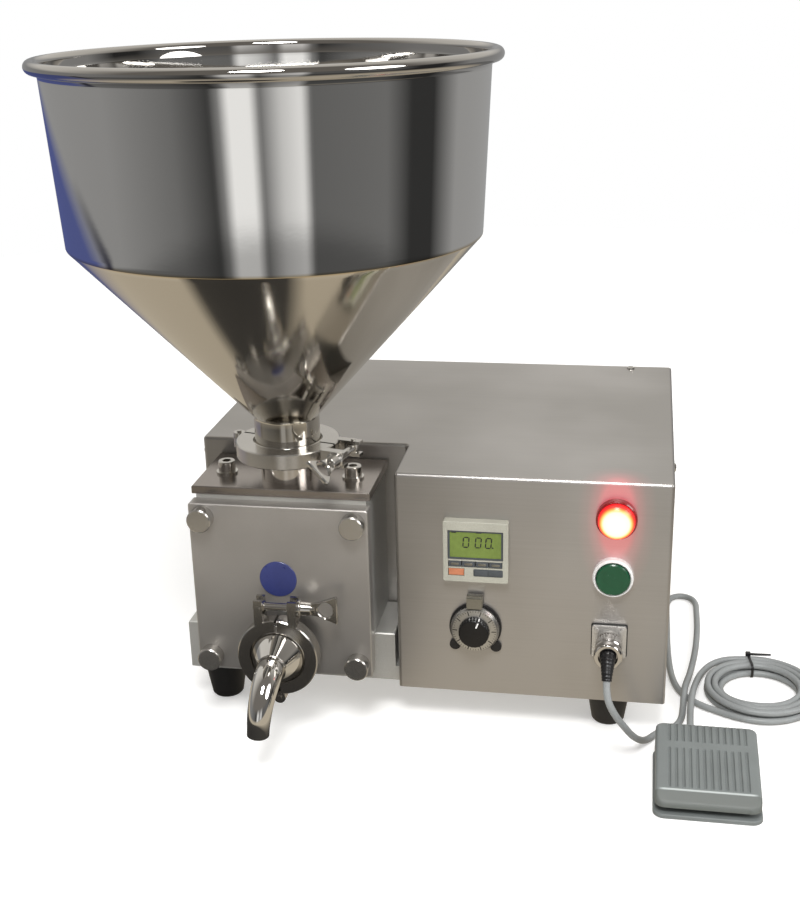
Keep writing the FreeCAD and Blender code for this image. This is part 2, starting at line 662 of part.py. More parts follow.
def pump_lid():
    """Top plate of the pump with two screw holes, and the inlet stub and ferrule welded to it."""
    body = new_body("lid_plate")
    half = d.lid_width / 2
    pad(body, "XY", block_top, d.lid_top,
        rectangle(d.pump_axis - half, d.pump_axis + half, d.lid_front, d.lid_back))
    soften(body, "Chamfer", 0.6, lambda edge: lies_at(edge, "z", d.lid_top))
    pocket(body, "XY", block_top, d.lid_top, (d.pump_axis, d.inlet_y, d.inlet_bore),
           *[(x, d.inlet_y, d.screw_radius + d.screw_room) for x in lid_screw_x])
    face = d.inlet_joint - d.gasket / 2
    stub = new_body("inlet_stub", d.pump_axis, d.inlet_y, face, FACING_DOWN)
    turn(stub, *ferrule_profile(d.inlet_bore, d.inlet_tube, d.inlet_flange, face - d.lid_top))
    NODES.remove(body)
    NODES.remove(stub)
    return node(fuse("pump_lid_welded", body, stub), "pump_lid")


def lid_screws():
    """Two socket-head screws with a hexagon recess, each with its washer."""
    washer = new_body("lid_washer")
    inner = d.screw_radius + d.slip
    turn(washer, (inner, 0.0), (d.washer_radius, 0.0), (d.washer_radius, d.washer_thick), (inner, d.washer_thick))
    screw = new_body("lid_screw")
    reach = -d.lid_thick - d.washer_thick
    head = d.screw_head_length
    edge = d.screw_room
    turn(screw, (0.0, reach), (d.screw_radius, reach), (d.screw_radius, 0.0), (d.screw_head, 0.0),
         (d.screw_head, head - edge), (d.screw_head - edge, head), (0.0, head))
    hexagon = []
    for corner in range(6):
        angle = math.radians(60.0 * corner)
        hexagon.append((d.hexagon_radius * math.cos(angle), d.hexagon_radius * math.sin(angle)))
    pocket(screw, "XY", head - d.hexagon_depth, head + edge, hexagon)
    return copies("lid_screws",
                  (washer, [(x, d.inlet_y, d.lid_top, UPRIGHT) for x in lid_screw_x]),
                  (screw, [(x, d.inlet_y, d.lid_top + d.washer_thick, UPRIGHT) for x in lid_screw_x]))


def pump_cover():
    """Front cover plate with four stud holes, and the outlet stub and ferrule welded to it."""
    body = new_body("cover_plate")
    pad(body, "XZ", d.cover_front, cover_back, square(d.pump_axis, d.cover_level, d.cover_side))
    soften(body, "Fillet", 2.0, lambda edge: runs_along(edge, "y"))
    soften(body, "Chamfer", 0.7, lambda edge: lies_at(edge, "y", d.cover_front))
    pocket(body, "XZ", d.cover_front, cover_back, (d.pump_axis, d.outlet_level, d.outlet_bore),
           *[(x, z, d.stud_radius + 0.3) for x, z in stud_spots])
    face = d.outlet_joint + d.gasket / 2
    stub = new_body("outlet_stub", d.pump_axis, face, d.outlet_level, FACING_BACK)
    turn(stub, *ferrule_profile(d.outlet_bore, d.outlet_tube, d.outlet_flange, d.cover_front - face))
    NODES.remove(body)
    NODES.remove(stub)
    return node(fuse("pump_cover_welded", body, stub), "pump_cover")


def cover_studs():
    """Studs screwed into the block, ending inside the thumb nuts."""
    stud = new_body("cover_stud")
    front = d.knob_bore_depth - 0.5 + d.seat_gap
    turn(stud, (0.0, 0.0), (d.stud_radius, 0.0), (d.stud_radius, d.stud_grip + d.cover_thick + front - 0.8),
         (d.stud_radius - 0.8, d.stud_grip + d.cover_thick + front), (0.0, d.stud_grip + d.cover_thick + front))
    spots = [(x, cover_back + d.stud_grip, z, FACING_FRONT) for x, z in stud_spots]
    return copies("cover_studs", (stud, spots))


def thumb_nut(label, x, z):
    """Plain round thumb nut with a blind bore."""
    body = new_body(label, x, d.cover_front - d.seat_gap, z, FACING_FRONT)
    bore = d.stud_radius + d.fit
    turn(body, (bore, 0.0), (d.knob_radius, 0.0), (d.knob_radius, d.knob_length - 0.8),
         (d.knob_radius - 0.8, d.knob_length), (0.0, d.knob_length), (0.0, d.knob_bore_depth),
         (bore, d.knob_bore_depth))
    return body


def badge_disc():
    body = new_body("badge_disc", d.pump_axis - 1.5, d.cover_front, d.cover_level + 10.0, FACING_FRONT)
    turn(body, (0.0, 0.0), (14.1, 0.0), (14.1, 0.5), (13.8, 0.8), (0.0, 0.8))
    return body


# ---------------------------------------------------------------- sanitary joints

def flange_height(flange, radius):
    """Height of a ferrule's tapered face above its joint face."""
    return d.flange_rim + (flange - radius) * d.flange_taper


def ferrule_profile(bore, tube, flange, length):
    """Half section of a ferrule whose joint face is at height zero and whose tube goes up."""
    return [(bore, 0.0), (flange, 0.0), (flange, d.flange_rim), (tube, flange_height(flange, tube)),
            (tube, length), (bore, length)]


def joint_gaskets():
    """Flat gaskets between the ferrules of both joints."""
    half = d.gasket / 2
    rings = []
    for name, bore, flange, spot, facing in (
            ("inlet_gasket", d.inlet_bore, d.inlet_flange, (d.pump_axis, d.inlet_y, d.inlet_joint), UPRIGHT),
            ("outlet_gasket", d.outlet_bore, d.outlet_flange, (d.pump_axis, d.outlet_joint, d.outlet_level),
             FACING_FRONT)):
        body = new_body(name, *spot, facing)
        turn(body, (bore, -half), (flange - 1.0, -half), (flange - 1.0, half), (bore, half))
        NODES.remove(body)
        rings.append(body)
    return gather("joint_gaskets", *rings)


def hopper():
    """Spun bowl: ferrule, neck, cone, drum and a rolled rim, one welded shell."""
    body = new_body("hopper", d.pump_axis, d.inlet_y, 0.0)
    wall = d.hopper_wall
    face = d.inlet_joint + d.gasket / 2
    bore = d.neck_radius - wall
    turn(body, (bore, face), (d.inlet_flange, face), (d.inlet_flange, face + d.flange_rim),
         (d.neck_radius, face + flange_height(d.inlet_flange, d.neck_radius)), (d.neck_radius, d.neck_top),
         (cone_radius, d.cone_top), (d.mouth_radius, d.rim_level - d.flare_drop),
         (rim_radius - d.bead_radius / 2, d.rim_level), (rim_radius - d.bead_radius / 2 - wall, d.rim_level),
         (d.mouth_radius - wall, d.rim_level - d.flare_drop + wall), (cone_radius - wall, d.cone_top + wall),
         (bore, d.neck_top + wall))
    turn_bead(body, rim_radius, d.rim_level, d.bead_radius)
    return body


class Clamp:
    """One hinged ring clamp. Its own z runs along the joint and its lugs stand on +x."""

    def __init__(self, name, flange, tube, outer, spot, facing, twist):
        self.name = name
        self.flange = flange
        self.tube = tube
        self.outer = outer
        self.spot = spot
        self.facing = facing
        self.twist = twist
        self.half = d.clamp_height / 2
        self.bolt_x = outer + d.bolt_offset
        self.hinge_x = -(outer + 3.0)
        self.lug_near = d.lug_spread / 2
        self.lug_far = self.lug_near + d.lug_thick
        self.pivot_y = self.lug_near + d.lug_thick / 2

    def body(self, piece):
        return new_body("%s_%s" % (self.name, piece), *self.spot, self.facing)

    def half_ring(self, piece, side):
        """Half ring with its lug; side is -1 for the slotted half and 1 for the pivot half."""
        body = self.body(piece)
        lip = self.tube + 1.6
        room = self.flange + d.clamp_gap
        at_rim = d.gasket / 2 + d.flange_rim + d.clamp_gap
        at_lip = at_rim + (self.flange - lip) * d.flange_taper
        turn(body, (lip, -self.half), (self.outer - 0.8, -self.half), (self.outer, 0.8 - self.half),
             (self.outer, self.half - 0.8), (self.outer - 0.8, self.half), (lip, self.half), (lip, at_lip),
             (room, at_rim), (room, -at_rim), (lip, -at_lip))
        far = self.outer + d.lug_reach + 2.0
        slit = d.clamp_slit / 2
        near, away = (-slit, far) if side < 0 else (-far, slit)
        pocket(body, "XY", -self.half, self.half, rectangle(-far, far, near, away))
        low, high = (-self.lug_far, -self.lug_near) if side < 0 else (self.lug_near, self.lug_far)
        pad(body, "XY", -self.half, self.half,
            rectangle(self.outer - 5.0, self.outer + d.lug_reach, low, high))
        pocket(body, "XY", -d.bolt_slot, d.bolt_slot,
               rectangle(self.outer + 3.5, far, low - 1.0, high + 1.0))
        self.knuckles(body, side)
        if side > 0:
            pocket(body, "XY", -self.half, self.half, (self.bolt_x, self.pivot_y, d.pin_radius))
        return body

    def knuckles(self, body, side):
        """Hinge knuckles: two outer ones on the slotted half, the middle one on the other."""
        split = self.half / 3
        outer = [(-self.half, -split), (split, self.half)]
        middle = [(-split, split)]
        own, other = (outer, middle) if side < 0 else (middle, outer)
        for low, high in other:
            pocket(body, "XY", low - 0.15, high + 0.15, (self.hinge_x, 0.0, d.knuckle_radius + d.slip))
        for low, high in own:
            pad(body, "XY", low + 0.15, high - 0.15, (self.hinge_x, 0.0, d.knuckle_radius))
        pocket(body, "XY", -self.half, self.half, (self.hinge_x, 0.0, d.pin_radius))

    def pins(self):
        """Hinge pin and bolt pin."""
        body = self.body("pins")
        reach = self.half + 1.0
        pad(body, "XY", -reach, reach, (self.hinge_x, 0.0, d.pin_radius),
            (self.bolt_x, self.pivot_y, d.pin_radius))
        NODES.remove(body)
        return body

    def bolt(self):
        """Swing bolt: an eye on the pin and a rod through the open slot."""
        body = self.body("bolt")
        eye_half = d.bolt_radius + 0.2
        pad(body, "XY", -eye_half, eye_half, (self.bolt_x, self.pivot_y, d.eye_radius))
        pad(body, "XZ", self.bolt_end, self.pivot_y, (self.bolt_x, 0.0, d.bolt_radius))
        pocket(body, "XY", -d.bolt_radius - 1.0, d.bolt_radius + 1.0,
               (self.bolt_x, self.pivot_y, d.pin_radius))
        NODES.remove(body)
        return body

    def along(self, distance):
        """Machine coordinates of the point at a distance along the clamp's own x axis."""
        direction = self.facing.multVec(Vector(1, 0, 0))
        return [place + distance * part for place, part in zip(self.spot, direction)]

    @property
    def hub_face(self):
        return -(self.lug_far + d.seat_gap)

    @property
    def bolt_end(self):
        return self.hub_face - d.wing_hub_length - 2.0

    def wing_nut(self):
        """Hub on the bolt with a flat looped wing beyond its end."""
        turned = self.facing.multiply(Rotation(Vector(0, 1, 0), self.twist))
        body = new_body("%s_wing_nut" % self.name, *self.along(self.bolt_x), turned)
        face = self.hub_face
        back = face - d.wing_hub_length
        pad(body, "XZ", face - 2.5, face, (0.0, 0.0, d.wing_hub + 1.2))
        pad(body, "XZ", back, face - 2.5, (0.0, 0.0, d.wing_hub))
        tip = back - d.wing_length
        border = d.wing_border
        half = d.wing_thick / 2
        pad(body, "XY", -half, half, [
            (-d.wing_root, back + 2.0), (-d.wing_span, tip), (d.wing_span, tip), (d.wing_root, back + 2.0)])
        pocket(body, "XY", -half - 1.0, half + 1.0, [
            (border - d.wing_root, back - 1.0), (border - d.wing_span, tip + border),
            (d.wing_span - border, tip + border), (d.wing_root - border, back - 1.0)])
        pocket(body, "XZ", back - 4.0, face + 1.0, (0.0, 0.0, d.bolt_radius + d.fit))
        return body

    def build(self):
        self.half_ring("slotted_half", -1)
        self.half_ring("pivot_half", 1)
        self.wing_nut()


def outlet_nozzle():
    """Ferrule, reducing cone and a tapering quarter bend that ends in a short straight tip."""
    face = d.outlet_joint - d.gasket / 2
    wall = d.nozzle_wall
    cone = new_body("nozzle_cone", d.pump_axis, face, d.outlet_level, FACING_FRONT)
    NODES.remove(cone)
    shoulder = d.nozzle_start
    nose = shoulder + d.reducer_length
    turn(cone, (d.outlet_bore, 0.0), (d.outlet_flange, 0.0), (d.outlet_flange, d.flange_rim),
         (d.reducer_radius, flange_height(d.outlet_flange, d.reducer_radius)), (d.reducer_radius, shoulder),
         (d.nose_radius, nose), (d.elbow_radius, nose + 1.0), (d.elbow_radius - wall, nose + 1.0),
         (d.elbow_radius - wall, nose), (d.reducer_radius - wall * 2, shoulder), (d.outlet_bore, shoulder))
    start = face - nose - 1.0
    outer = bend("nozzle_outer", start, d.elbow_radius, d.tip_radius)
    inner = bend("nozzle_inner", start, d.elbow_radius - wall, d.tip_radius - wall)
    tip = new_body("nozzle_tip", *nozzle_spot(start, 90.0))
    turn(tip, (d.tip_radius - wall, 0.0), (d.tip_radius, 0.0), (d.tip_radius, d.tip_length),
         (d.tip_radius - wall, d.tip_length))
    NODES.remove(tip)
    return node(fuse("outlet_nozzle", cone, cut("nozzle_bend", outer, inner), tip), "outlet_nozzle")


def nozzle_spot(start, turned):
    """Point on the bend's axis where it has turned down by an angle, and the way that it faces."""
    angle = math.radians(turned)
    forward = d.bend_radius * math.sin(angle)
    down = d.bend_radius * (1 - math.cos(angle))
    lean = math.radians(d.nozzle_lean.value)
    facing = Rotation(Vector(0, 1, 0), d.nozzle_lean.value) * Rotation(Vector(1, 0, 0), 90 + turned)
    return (d.pump_axis - down * math.sin(lean), start - forward, d.outlet_level - down * math.cos(lean), facing)


def bend(name, start, first_radius, last_radius):
    """Tapering quarter bend, lofted through circles set along the arc."""
    stations = 8
    rings = []
    for station in range(stations + 1):
        part = station / stations
        ring = doc.addObject("Part::Circle", name + "_ring")
        bind(ring, "Radius", first_radius * (1 - part) + last_radius * part)
        rings.append(seat(ring, *nozzle_spot(start, 90.0 * part)))
    loft = doc.addObject("Part::Loft", name)
    loft.Sections = rings
    loft.Solid = True
    loft.Ruled = False
    return loft


# ---------------------------------------------------------------- panel

def panel_piece(label, x, z, out=0.0):
    """Body that stands on the panel, its own z axis pointing out of the front."""
    return new_body(label, x, d.panel_front - out, z, FACING_FRONT)


def timer_housing():
    """Square timer: bezel with a well for the display and keys, and its body behind the panel."""
    body = panel_piece("timer_housing", d.timer_x, d.timer_z)
    pad(body, "XY", 0.0, d.timer_proud, square(0.0, 0.0, d.timer_side))
    soften(body, "Fillet", 1.6, lambda edge: runs_along(edge, "z"))
    soften(body, "Fillet", 0.8, lambda edge: lies_at(edge, "z", d.timer_proud))
    pad(body, "XY", -d.timer_depth, 0.0, square(0.0, 0.0, d.timer_body))
    well = d.timer_proud - d.timer_well
    half = d.timer_side / 2 - 3.6
    pocket(body, "XY", well, d.timer_proud, rectangle(-half, half, display_low, display_high))
    for low, high, left, right in key_wells:
        pocket(body, "XY", well - d.key_travel - 1.2, d.timer_proud, rectangle(left, right, low, high))
    return body


def timer_display():
    """Display window, flush with the bottom of its well."""
    body = panel_piece("timer_display", d.timer_x, d.timer_z)
    well = d.timer_proud - d.timer_well
    half = d.timer_side / 2 - 3.6 - d.seat_gap
    pad(body, "XY", well, well + 1.2,
        rectangle(-half, half, display_low + d.seat_gap, display_high - d.seat_gap))
    return body


def timer_keys():
    """Push keys under the display: four in a row and a wide reset key."""
    well = d.timer_proud - d.timer_well - d.key_travel - 1.2
    for label, left, right, low, high in key_faces:
        body = panel_piece(label, d.timer_x, d.timer_z)
        pad(body, "XY", well + d.key_travel + 0.2, d.timer_proud - 0.2, rectangle(left, right, low, high))
        soften(body, "Fillet", 0.4, lambda edge: lies_at(edge, "z", d.timer_proud - 0.2))


def dial_base():
    """Fixed flange of the turns-counting dial, with two round ears and the potentiometer behind."""
    body = panel_piece("dial_base", d.dial_x, d.dial_z)
    pad(body, "XY", 0.0, 2.0, (0.0, 0.0, d.dial_base))
    ear = d.dial_base * 0.707 + 1.5
    for side in (-1, 1):
        pad(body, "XY", 0.0, 2.0, (ear * side, -ear, 4.2))
    turn(body, (dial_spindle + d.fit, -16.0), (9.0, -16.0), (9.0, -2.0), (4.6, -2.0), (4.6, 1.0),
         (dial_spindle + d.fit, 1.0))
    pocket(body, "XY", -1.0, 3.0, (0.0, 0.0, dial_spindle + d.fit))
    return body


def dial_turning():
    """Graduated ring and knob with its index ridge; they turn together on the spindle."""
    ring = panel_piece("dial_scale", d.dial_x, d.dial_z, 2.0 + d.slip)
    turn(ring, (d.dial_knob - 2.0, 0.0), (d.dial_ring, 0.0), (d.dial_ring, 3.0), (d.dial_ring - 1.6, 5.6),
         (d.dial_knob - 2.0, 6.4))
    knob = panel_piece("dial_knob", d.dial_x, d.dial_z, 2.0 + d.slip)
    turn(knob, (0.0, -12.0), (dial_spindle, -12.0), (dial_spindle, 0.0), (d.dial_knob - 2.0, 0.0),
         (d.dial_knob - 2.0, 6.4), (d.dial_knob, 6.6), (d.dial_knob - 0.6, 17.0), (d.dial_knob - 1.6, 18.0),
         (0.0, 18.0))
    notch = pocket(knob, "XY", 7.4, 18.5, (d.dial_knob + 0.5, 0.0, 1.0))
    ring_of(knob, [notch], 24)


def dial_lock():
    """Small lever at the top of the dial that holds its ring."""
    body = panel_piece("dial_lock", d.dial_x, d.dial_z, 2.0)
    inner = d.dial_ring + d.slip
    pad(body, "XY", d.seat_gap, 4.6, rectangle(-6.0, 6.0, inner, d.dial_base + 8.0))
    soften(body, "Fillet", 0.8, lambda edge: runs_along(edge, "z"))
    pad(body, "XY", 4.6, 6.4, rectangle(-5.6, 5.6, inner - 0.5, d.dial_base + 6.6))
    return body


def lamp():
    """Pilot lamp: bezel with its barrel behind the panel, and a domed lens."""
    bezel = panel_piece("lamp_bezel", d.lamp_x, d.lamp_z)
    inner = d.bezel_radius - d.lamp_rim
    turn(bezel, (0.0, -d.barrel_length), (d.barrel_radius, -d.barrel_length), (d.barrel_radius, 0.0),
         (d.bezel_radius, 0.0), (d.bezel_radius, 5.2), (d.bezel_radius - 0.8, 6.0), (inner, 6.0),
         (inner, 2.0), (0.0, 2.0))
    lens = panel_piece("lamp_lens", d.lamp_x, d.lamp_z)
    inner = inner - d.seat_gap
    turn(lens, (0.0, 2.0), (inner, 2.0), (inner, 8.4), (inner - 0.8, 10.4), (inner - 2.6, 12.0),
         (inner - 6.0, 13.3), (0.0, 13.8))


def start_button():
    """Push button: a ring bezel with its barrel behind the panel, and a flat cap on a stem."""
    bezel = panel_piece("button_bezel", d.button_x, d.button_z)
    bore = d.button_radius + 0.3
    floor = 6.8 - d.button_travel - 2.0
    turn(bezel, (4.1, -d.barrel_length), (d.barrel_radius, -d.barrel_length), (d.barrel_radius, 0.0),
         (d.bezel_radius, 0.0), (d.bezel_radius, 5.0), (d.bezel_radius - 1.0, 6.8), (bore + 0.8, 6.8),
         (bore, 6.0), (bore, floor), (4.1, floor))
    cap = panel_piece("button_cap", d.button_x, d.button_z)
    low = floor + d.button_travel + 0.4
    turn(cap, (0.0, -12.0), (4.0, -12.0), (4.0, low), (d.button_radius, low), (d.button_radius, 7.6),
         (d.button_radius - 0.8, 8.2), (0.0, 8.2))


def pedal_socket():
    """Square-flanged socket with four corner screws and the threaded barrel."""
    body = panel_piece("socket_flange", d.plug_x, d.plug_z)
    pad(body, "XY", 0.0, 3.6, square(0.0, 0.0, d.plug_flange))
    soften(body, "Fillet", 1.4, lambda edge: runs_along(edge, "z"))
    turn(body, (0.0, -16.0), (d.plug_barrel, -16.0), (d.plug_barrel, 9.0), (0.0, 9.0))
    reach = d.plug_flange / 2 - 3.2
    screws = [(x * reach, z * reach, 1.9) for x in (-1, 1) for z in (-1, 1)]
    pad(body, "XY", 3.6, 5.0, *screws)
    return body


def plug():
    """Cable plug: shell, knurled coupling nut around the joint, and a drooping boot."""
    shell = panel_piece("plug_shell", d.plug_x, d.plug_z)
    turn(shell, (0.0, 9.0), (d.plug_barrel, 9.0), (d.plug_barrel, 19.5), (d.boot_radius + 0.8, 22.0),
         (d.boot_radius + 0.8, 25.0), (0.0, 25.0))
    nut = panel_piece("plug_nut", d.plug_x, d.plug_z)
    bore = d.plug_barrel + d.fit
    turn(nut, (bore, 6.0), (d.plug_nut, 6.0), (d.plug_nut, 18.0), (d.plug_nut - 0.9, 19.0), (bore, 19.0))
    knurl = pocket(nut, "XY", 8.0, 16.0, (d.plug_nut + 0.55, 0.0, 0.9))
    ring_of(nut, [knurl], 30)


def boot_spot(angle):
    """Point on the drooping axis of the boot where it has turned down by an angle."""
    return (d.plug_x, boot_start - boot_reach * math.sin(angle),
            d.plug_z - boot_reach * (1 - math.cos(angle)))


def plug_boot():
    """Tapered rubber boot that droops from the plug and lets the cable out downwards."""
    stations = 6
    droop = math.radians(d.boot_droop.value)
    rings = []
    for station in range(stations + 1):
        part = station / stations
        ring = doc.addObject("Part::Circle", "boot_ring")
        bind(ring, "Radius", d.boot_radius * (1 - part) + (d.cable_radius + 1.0) * part)
        facing = Rotation(Vector(1, 0, 0), 90 + math.degrees(droop * part))
        rings.append(seat(ring, *boot_spot(droop * part), facing))
    loft = doc.addObject("Part::Loft", "plug_boot")
    loft.Sections = rings
    loft.Solid = True
    return node(loft, "plug_boot")


# ---------------------------------------------------------------- cable

# The lead drops from the boot, passes behind the pedal, runs back along the cabinet's side,
# folds, comes forward again, crosses under itself and goes into the coil.
LEAD_ROUTE = [
    (163.5, -50.5, 50.0), (170.5, -43.5, 36.0), (179.5, -28.0, 16.0), (188.0, -10.0, 2.6),
    (196.5, 4.0, 2.6), (208.0, 10.5, 2.6), (215.0, 24.0, 2.6), (216.6, 43.0, 3.4), (217.4, 60.5, 8.4),
    (219.6, 79.0, 5.0), (223.2, 99.0, 2.6), (228.8, 140.0, 2.6), (231.3, 184.0, 2.6),
    (230.6, 214.0, 2.6), (229.8, 234.5, 2.6), (223.6, 241.6, 2.6), (214.4, 242.0, 2.6),
    (208.0, 235.4, 2.6), (207.0, 217.0, 2.6), (205.6, 187.0, 2.6), (205.1, 151.0, 2.6),
    (206.0, 117.0, 2.6), (209.0, 84.0, 2.6),
    (216.4, 62.5, 2.6), (229.5, 49.0, 2.6), (243.5, 41.0, 2.6), (254.0, 35.6, 2.6)]

# The tail leaves the coil at the back, crosses over the lead and goes into the pedal.
TAIL_ROUTE = [
    (262.0, 118.0, 8.0), (250.0, 117.6, 6.8), (239.0, 111.5, 4.6), (231.6, 98.0, 3.4),
    (227.4, 80.0, 5.8), (223.8, 59.0, 8.4), (221.4, 33.0, 8.6), (220.9, 5.0, 7.8)]


def bent_path(name, points):
    """Straight runs joined by tangent arcs, each arc as large as its two runs allow."""
    edges = []
    radii = []
    last = points[0]
    for before, corner, after in zip(points, points[1:], points[2:]):
        inward = (corner - before).normalize()
        onward = (after - corner).normalize()
        half_turn = inward.getAngle(onward) / 2
        reach = 0.45 * min(corner.distanceToPoint(before), corner.distanceToPoint(after))
        radius = reach / math.tan(half_turn)
        start = corner - inward * reach
        end = corner + onward * reach
        sagitta = radius / math.cos(half_turn) - radius
        middle = corner + (onward - inward).normalize() * sagitta
        edges.append(Part.LineSegment(last, start).toShape())
        edges.append(Part.Arc(start, middle, end).toShape())
        radii.append(round(radius, 1))
        last = end
    edges.append(Part.LineSegment(last, points[-1]).toShape())
    path = doc.addObject("Part::Feature", name)
    path.Shape = Part.Wire(edges)
    print(name, "length %.0f" % path.Shape.Length, "radii", radii)
    return seat(path, 0.0, 0.0, 0.0)


def tube(label, points):
    """Plain round tube along a route of machine coordinates."""
    corners = [Vector(*[size(part).value for part in point]) for point in points]
    path = bent_path(label + "_path", corners)
    ring = doc.addObject("Part::Circle", label + "_section")
    bind(ring, "Radius", d.cable_radius)
    seat(ring, *points[0], Rotation(Vector(0, 0, 1), corners[1] - corners[0]))
    sweep = doc.addObject("Part::Sweep", label)
    sweep.Sections = [ring]
    sweep.Spine = (path, ["Edge%d" % number for number in range(1, len(path.Shape.Edges) + 1)])
    sweep.Solid = True
    return node(sweep, label)


def cable():
    """Grey cable between the plug and the pedal: lead, coil and tail."""
    droop = math.radians(d.boot_droop.value)
    tip = boot_spot(droop)
    straight = 10.0
    below = (tip[0], tip[1] - straight * math.cos(droop), tip[2] - straight * math.sin(droop))
    tube("cable_lead", [tip, below] + LEAD_ROUTE)
    coil = new_body("cable_coil", d.coil_x, d.coil_y, 0.0)
    turn(coil, (d.coil_inner, 0.0), (d.coil_outer, 0.0), (d.coil_outer, d.coil_height),
         (d.coil_inner, d.coil_height))
    soften(coil, "Fillet", d.coil_round, lambda edge: edge.Curve.TypeId == "Part::GeomCircle")
    tube("cable_tail", TAIL_ROUTE + [(pedal_cable_x, d.pedal_rear, outlet_z)])


# ---------------------------------------------------------------- pedal

def pedal_base():
    """Foot plate with side lugs for the pivot, a switch stand and the cable outlet."""
    body = new_body("pedal_base")
    outline = rectangle(d.pedal_left, d.pedal_right, d.pedal_front, d.pedal_rear)
    pad(body, "XY", 0.0, d.pedal_foot, outline)
    soften(body, "Fillet", d.pedal_corner, lambda edge: runs_along(edge, "z"))
    soften(body, "Fillet", 1.0, lambda edge: lies_at(edge, "z", d.pedal_foot))
    inner_left = d.pedal_left + d.pedal_inset + d.pedal_wall + d.slip * 2
    inner_right = d.pedal_right - d.pedal_inset - d.pedal_wall - d.slip * 2
    reach = d.pivot_radius + d.pivot_wall
    back = d.pedal_rear - d.pedal_inset - d.pedal_wall - d.slip * 2
    for left, right in ((inner_left, inner_left + d.pivot_lug), (inner_right - d.pivot_lug, inner_right)):
        pad(body, "YZ", left, right, [
            (pivot_y - reach, d.pedal_foot), (back, d.pedal_foot), (back, d.pedal_pivot_z + reach),
            (pivot_y - reach, d.pedal_pivot_z + reach)])
    pocket(body, "YZ", inner_left - d.slip, inner_right + d.slip, (pivot_y, d.pedal_pivot_z, d.pivot_radius))
    pad(body, "XY", d.pedal_foot, outlet_z + d.outlet_half - 1.0,
        rectangle(pedal_cable_x - d.outlet_half, pedal_cable_x + d.outlet_half,
                  pivot_y + d.pivot_radius + 1.0, d.pedal_rear))
    return body


def pedal_pin():
    inset = d.pedal_inset + d.seat_gap
    return node(rod("pedal_pin", d.pivot_radius, d.pedal_right - d.pedal_left - inset * 2, d.pedal_left + inset,
                    pivot_y, d.pedal_pivot_z, Rotation(Vector(0, 1, 0), 90)), "pedal_pin")


def pedal_switch():
    """Snap switch on the foot plate, with its plunger just below the cover."""
    middle_x = (d.pedal_left + d.pedal_right) / 2
    middle_y = (d.pedal_front + d.pedal_rear) / 2
    level = d.pedal_foot
    long = d.switch_length / 2
    wide = d.switch_width / 2
    case = block("switch_case", middle_x - long, middle_x + long, middle_y - wide, middle_y + wide,
                 level, level + d.switch_height)
    plunger = rod("switch_plunger", d.plunger_radius, d.plunger_height, middle_x + wide, middle_y,
                  level + d.switch_height)
    return node(fuse("pedal_switch", case, plunger), "pedal_switch")


def pedal_cover():
    """Hollow treadle: sloping top with grooves in two groups, a ridge, and a sloping nose."""
    body = new_body("pedal_cover")
    left = d.pedal_left + d.pedal_inset
    right = d.pedal_right - d.pedal_inset
    rear = d.pedal_rear - d.pedal_inset
    front = d.pedal_front + d.pedal_inset
    ridge_y = front + d.pedal_nose
    flat_y = rear - 14.0
    pad(body, "YZ", left, right, [
        (front, d.pedal_skirt), (rear, d.pedal_skirt), (rear, d.pedal_height - 4.0),
        (flat_y, d.pedal_height), (ridge_y, d.pedal_ridge), (front, d.pedal_skirt + 3.5)])
    soften(body, "Fillet", d.pedal_corner - d.pedal_inset, lambda edge: runs_along(edge, "z"))
    wall = d.pedal_wall
    roof = wall + d.groove_depth
    pocket(body, "YZ", left + wall, right - wall, [
        (front + wall + 5.0, d.pedal_skirt - 1.0), (rear - wall, d.pedal_skirt - 1.0),
        (rear - wall, d.pedal_height - 4.0 - roof), (flat_y, d.pedal_height - roof),
        (ridge_y + 2.0, d.pedal_ridge - roof), (front + wall + 5.0, d.pedal_skirt + 1.0)])
    pocket(body, "YZ", left - 1.0, right + 1.0, (pivot_y, d.pedal_pivot_z, d.pivot_radius + d.fit))
    room = d.outlet_half + 1.5
    pocket(body, "XZ", rear - wall - 1.0, rear + 1.0,
           rectangle(pedal_cable_x - room, pedal_cable_x + room, d.pedal_skirt - 1.0, outlet_z + room - 0.5))
    slope = (d.pedal_height - d.pedal_ridge) / (flat_y - ridge_y)
    first = left + 8.0
    for start, end in ((ridge_y + 2.0, ridge_y + 39.0), (ridge_y + 46.0, flat_y - 1.0)):
        low = d.pedal_ridge + slope * (start - ridge_y)
        high = d.pedal_ridge + slope * (end - ridge_y)
        groove = pocket(body, "YZ", first, first + d.groove_width, [
            (start, low - d.groove_depth), (end, high - d.groove_depth), (end, high + 2.0), (start, low + 2.0)])
        row_of(body, [groove], "X_Axis", d.groove_pitch, 12)
    return body


# ---------------------------------------------------------------- assembly

def build_clamps():
    """Both joint clamps; their pins and bolts are grouped by kind."""
    clamps = [
        Clamp("hopper_clamp", d.inlet_flange, d.neck_radius, d.inlet_clamp,
              (d.pump_axis, d.inlet_y, d.inlet_joint), Rotation(Vector(0, 0, 1), d.inlet_clamp_turn.value),
              45.0),
        Clamp("outlet_clamp", d.outlet_flange, d.reducer_radius, d.outlet_clamp,
              (d.pump_axis, d.outlet_joint, d.outlet_level),
              Rotation(Vector(0, 0, 1), Vector(-1, 0, 0), Vector(0, -1, 0), "ZXY"), 0.0)]
    for clamp in clamps:
        clamp.build()
    gather("clamp_pins", *[clamp.pins() for clamp in clamps])
    gather("clamp_bolts", *[clamp.bolt() for clamp in clamps])


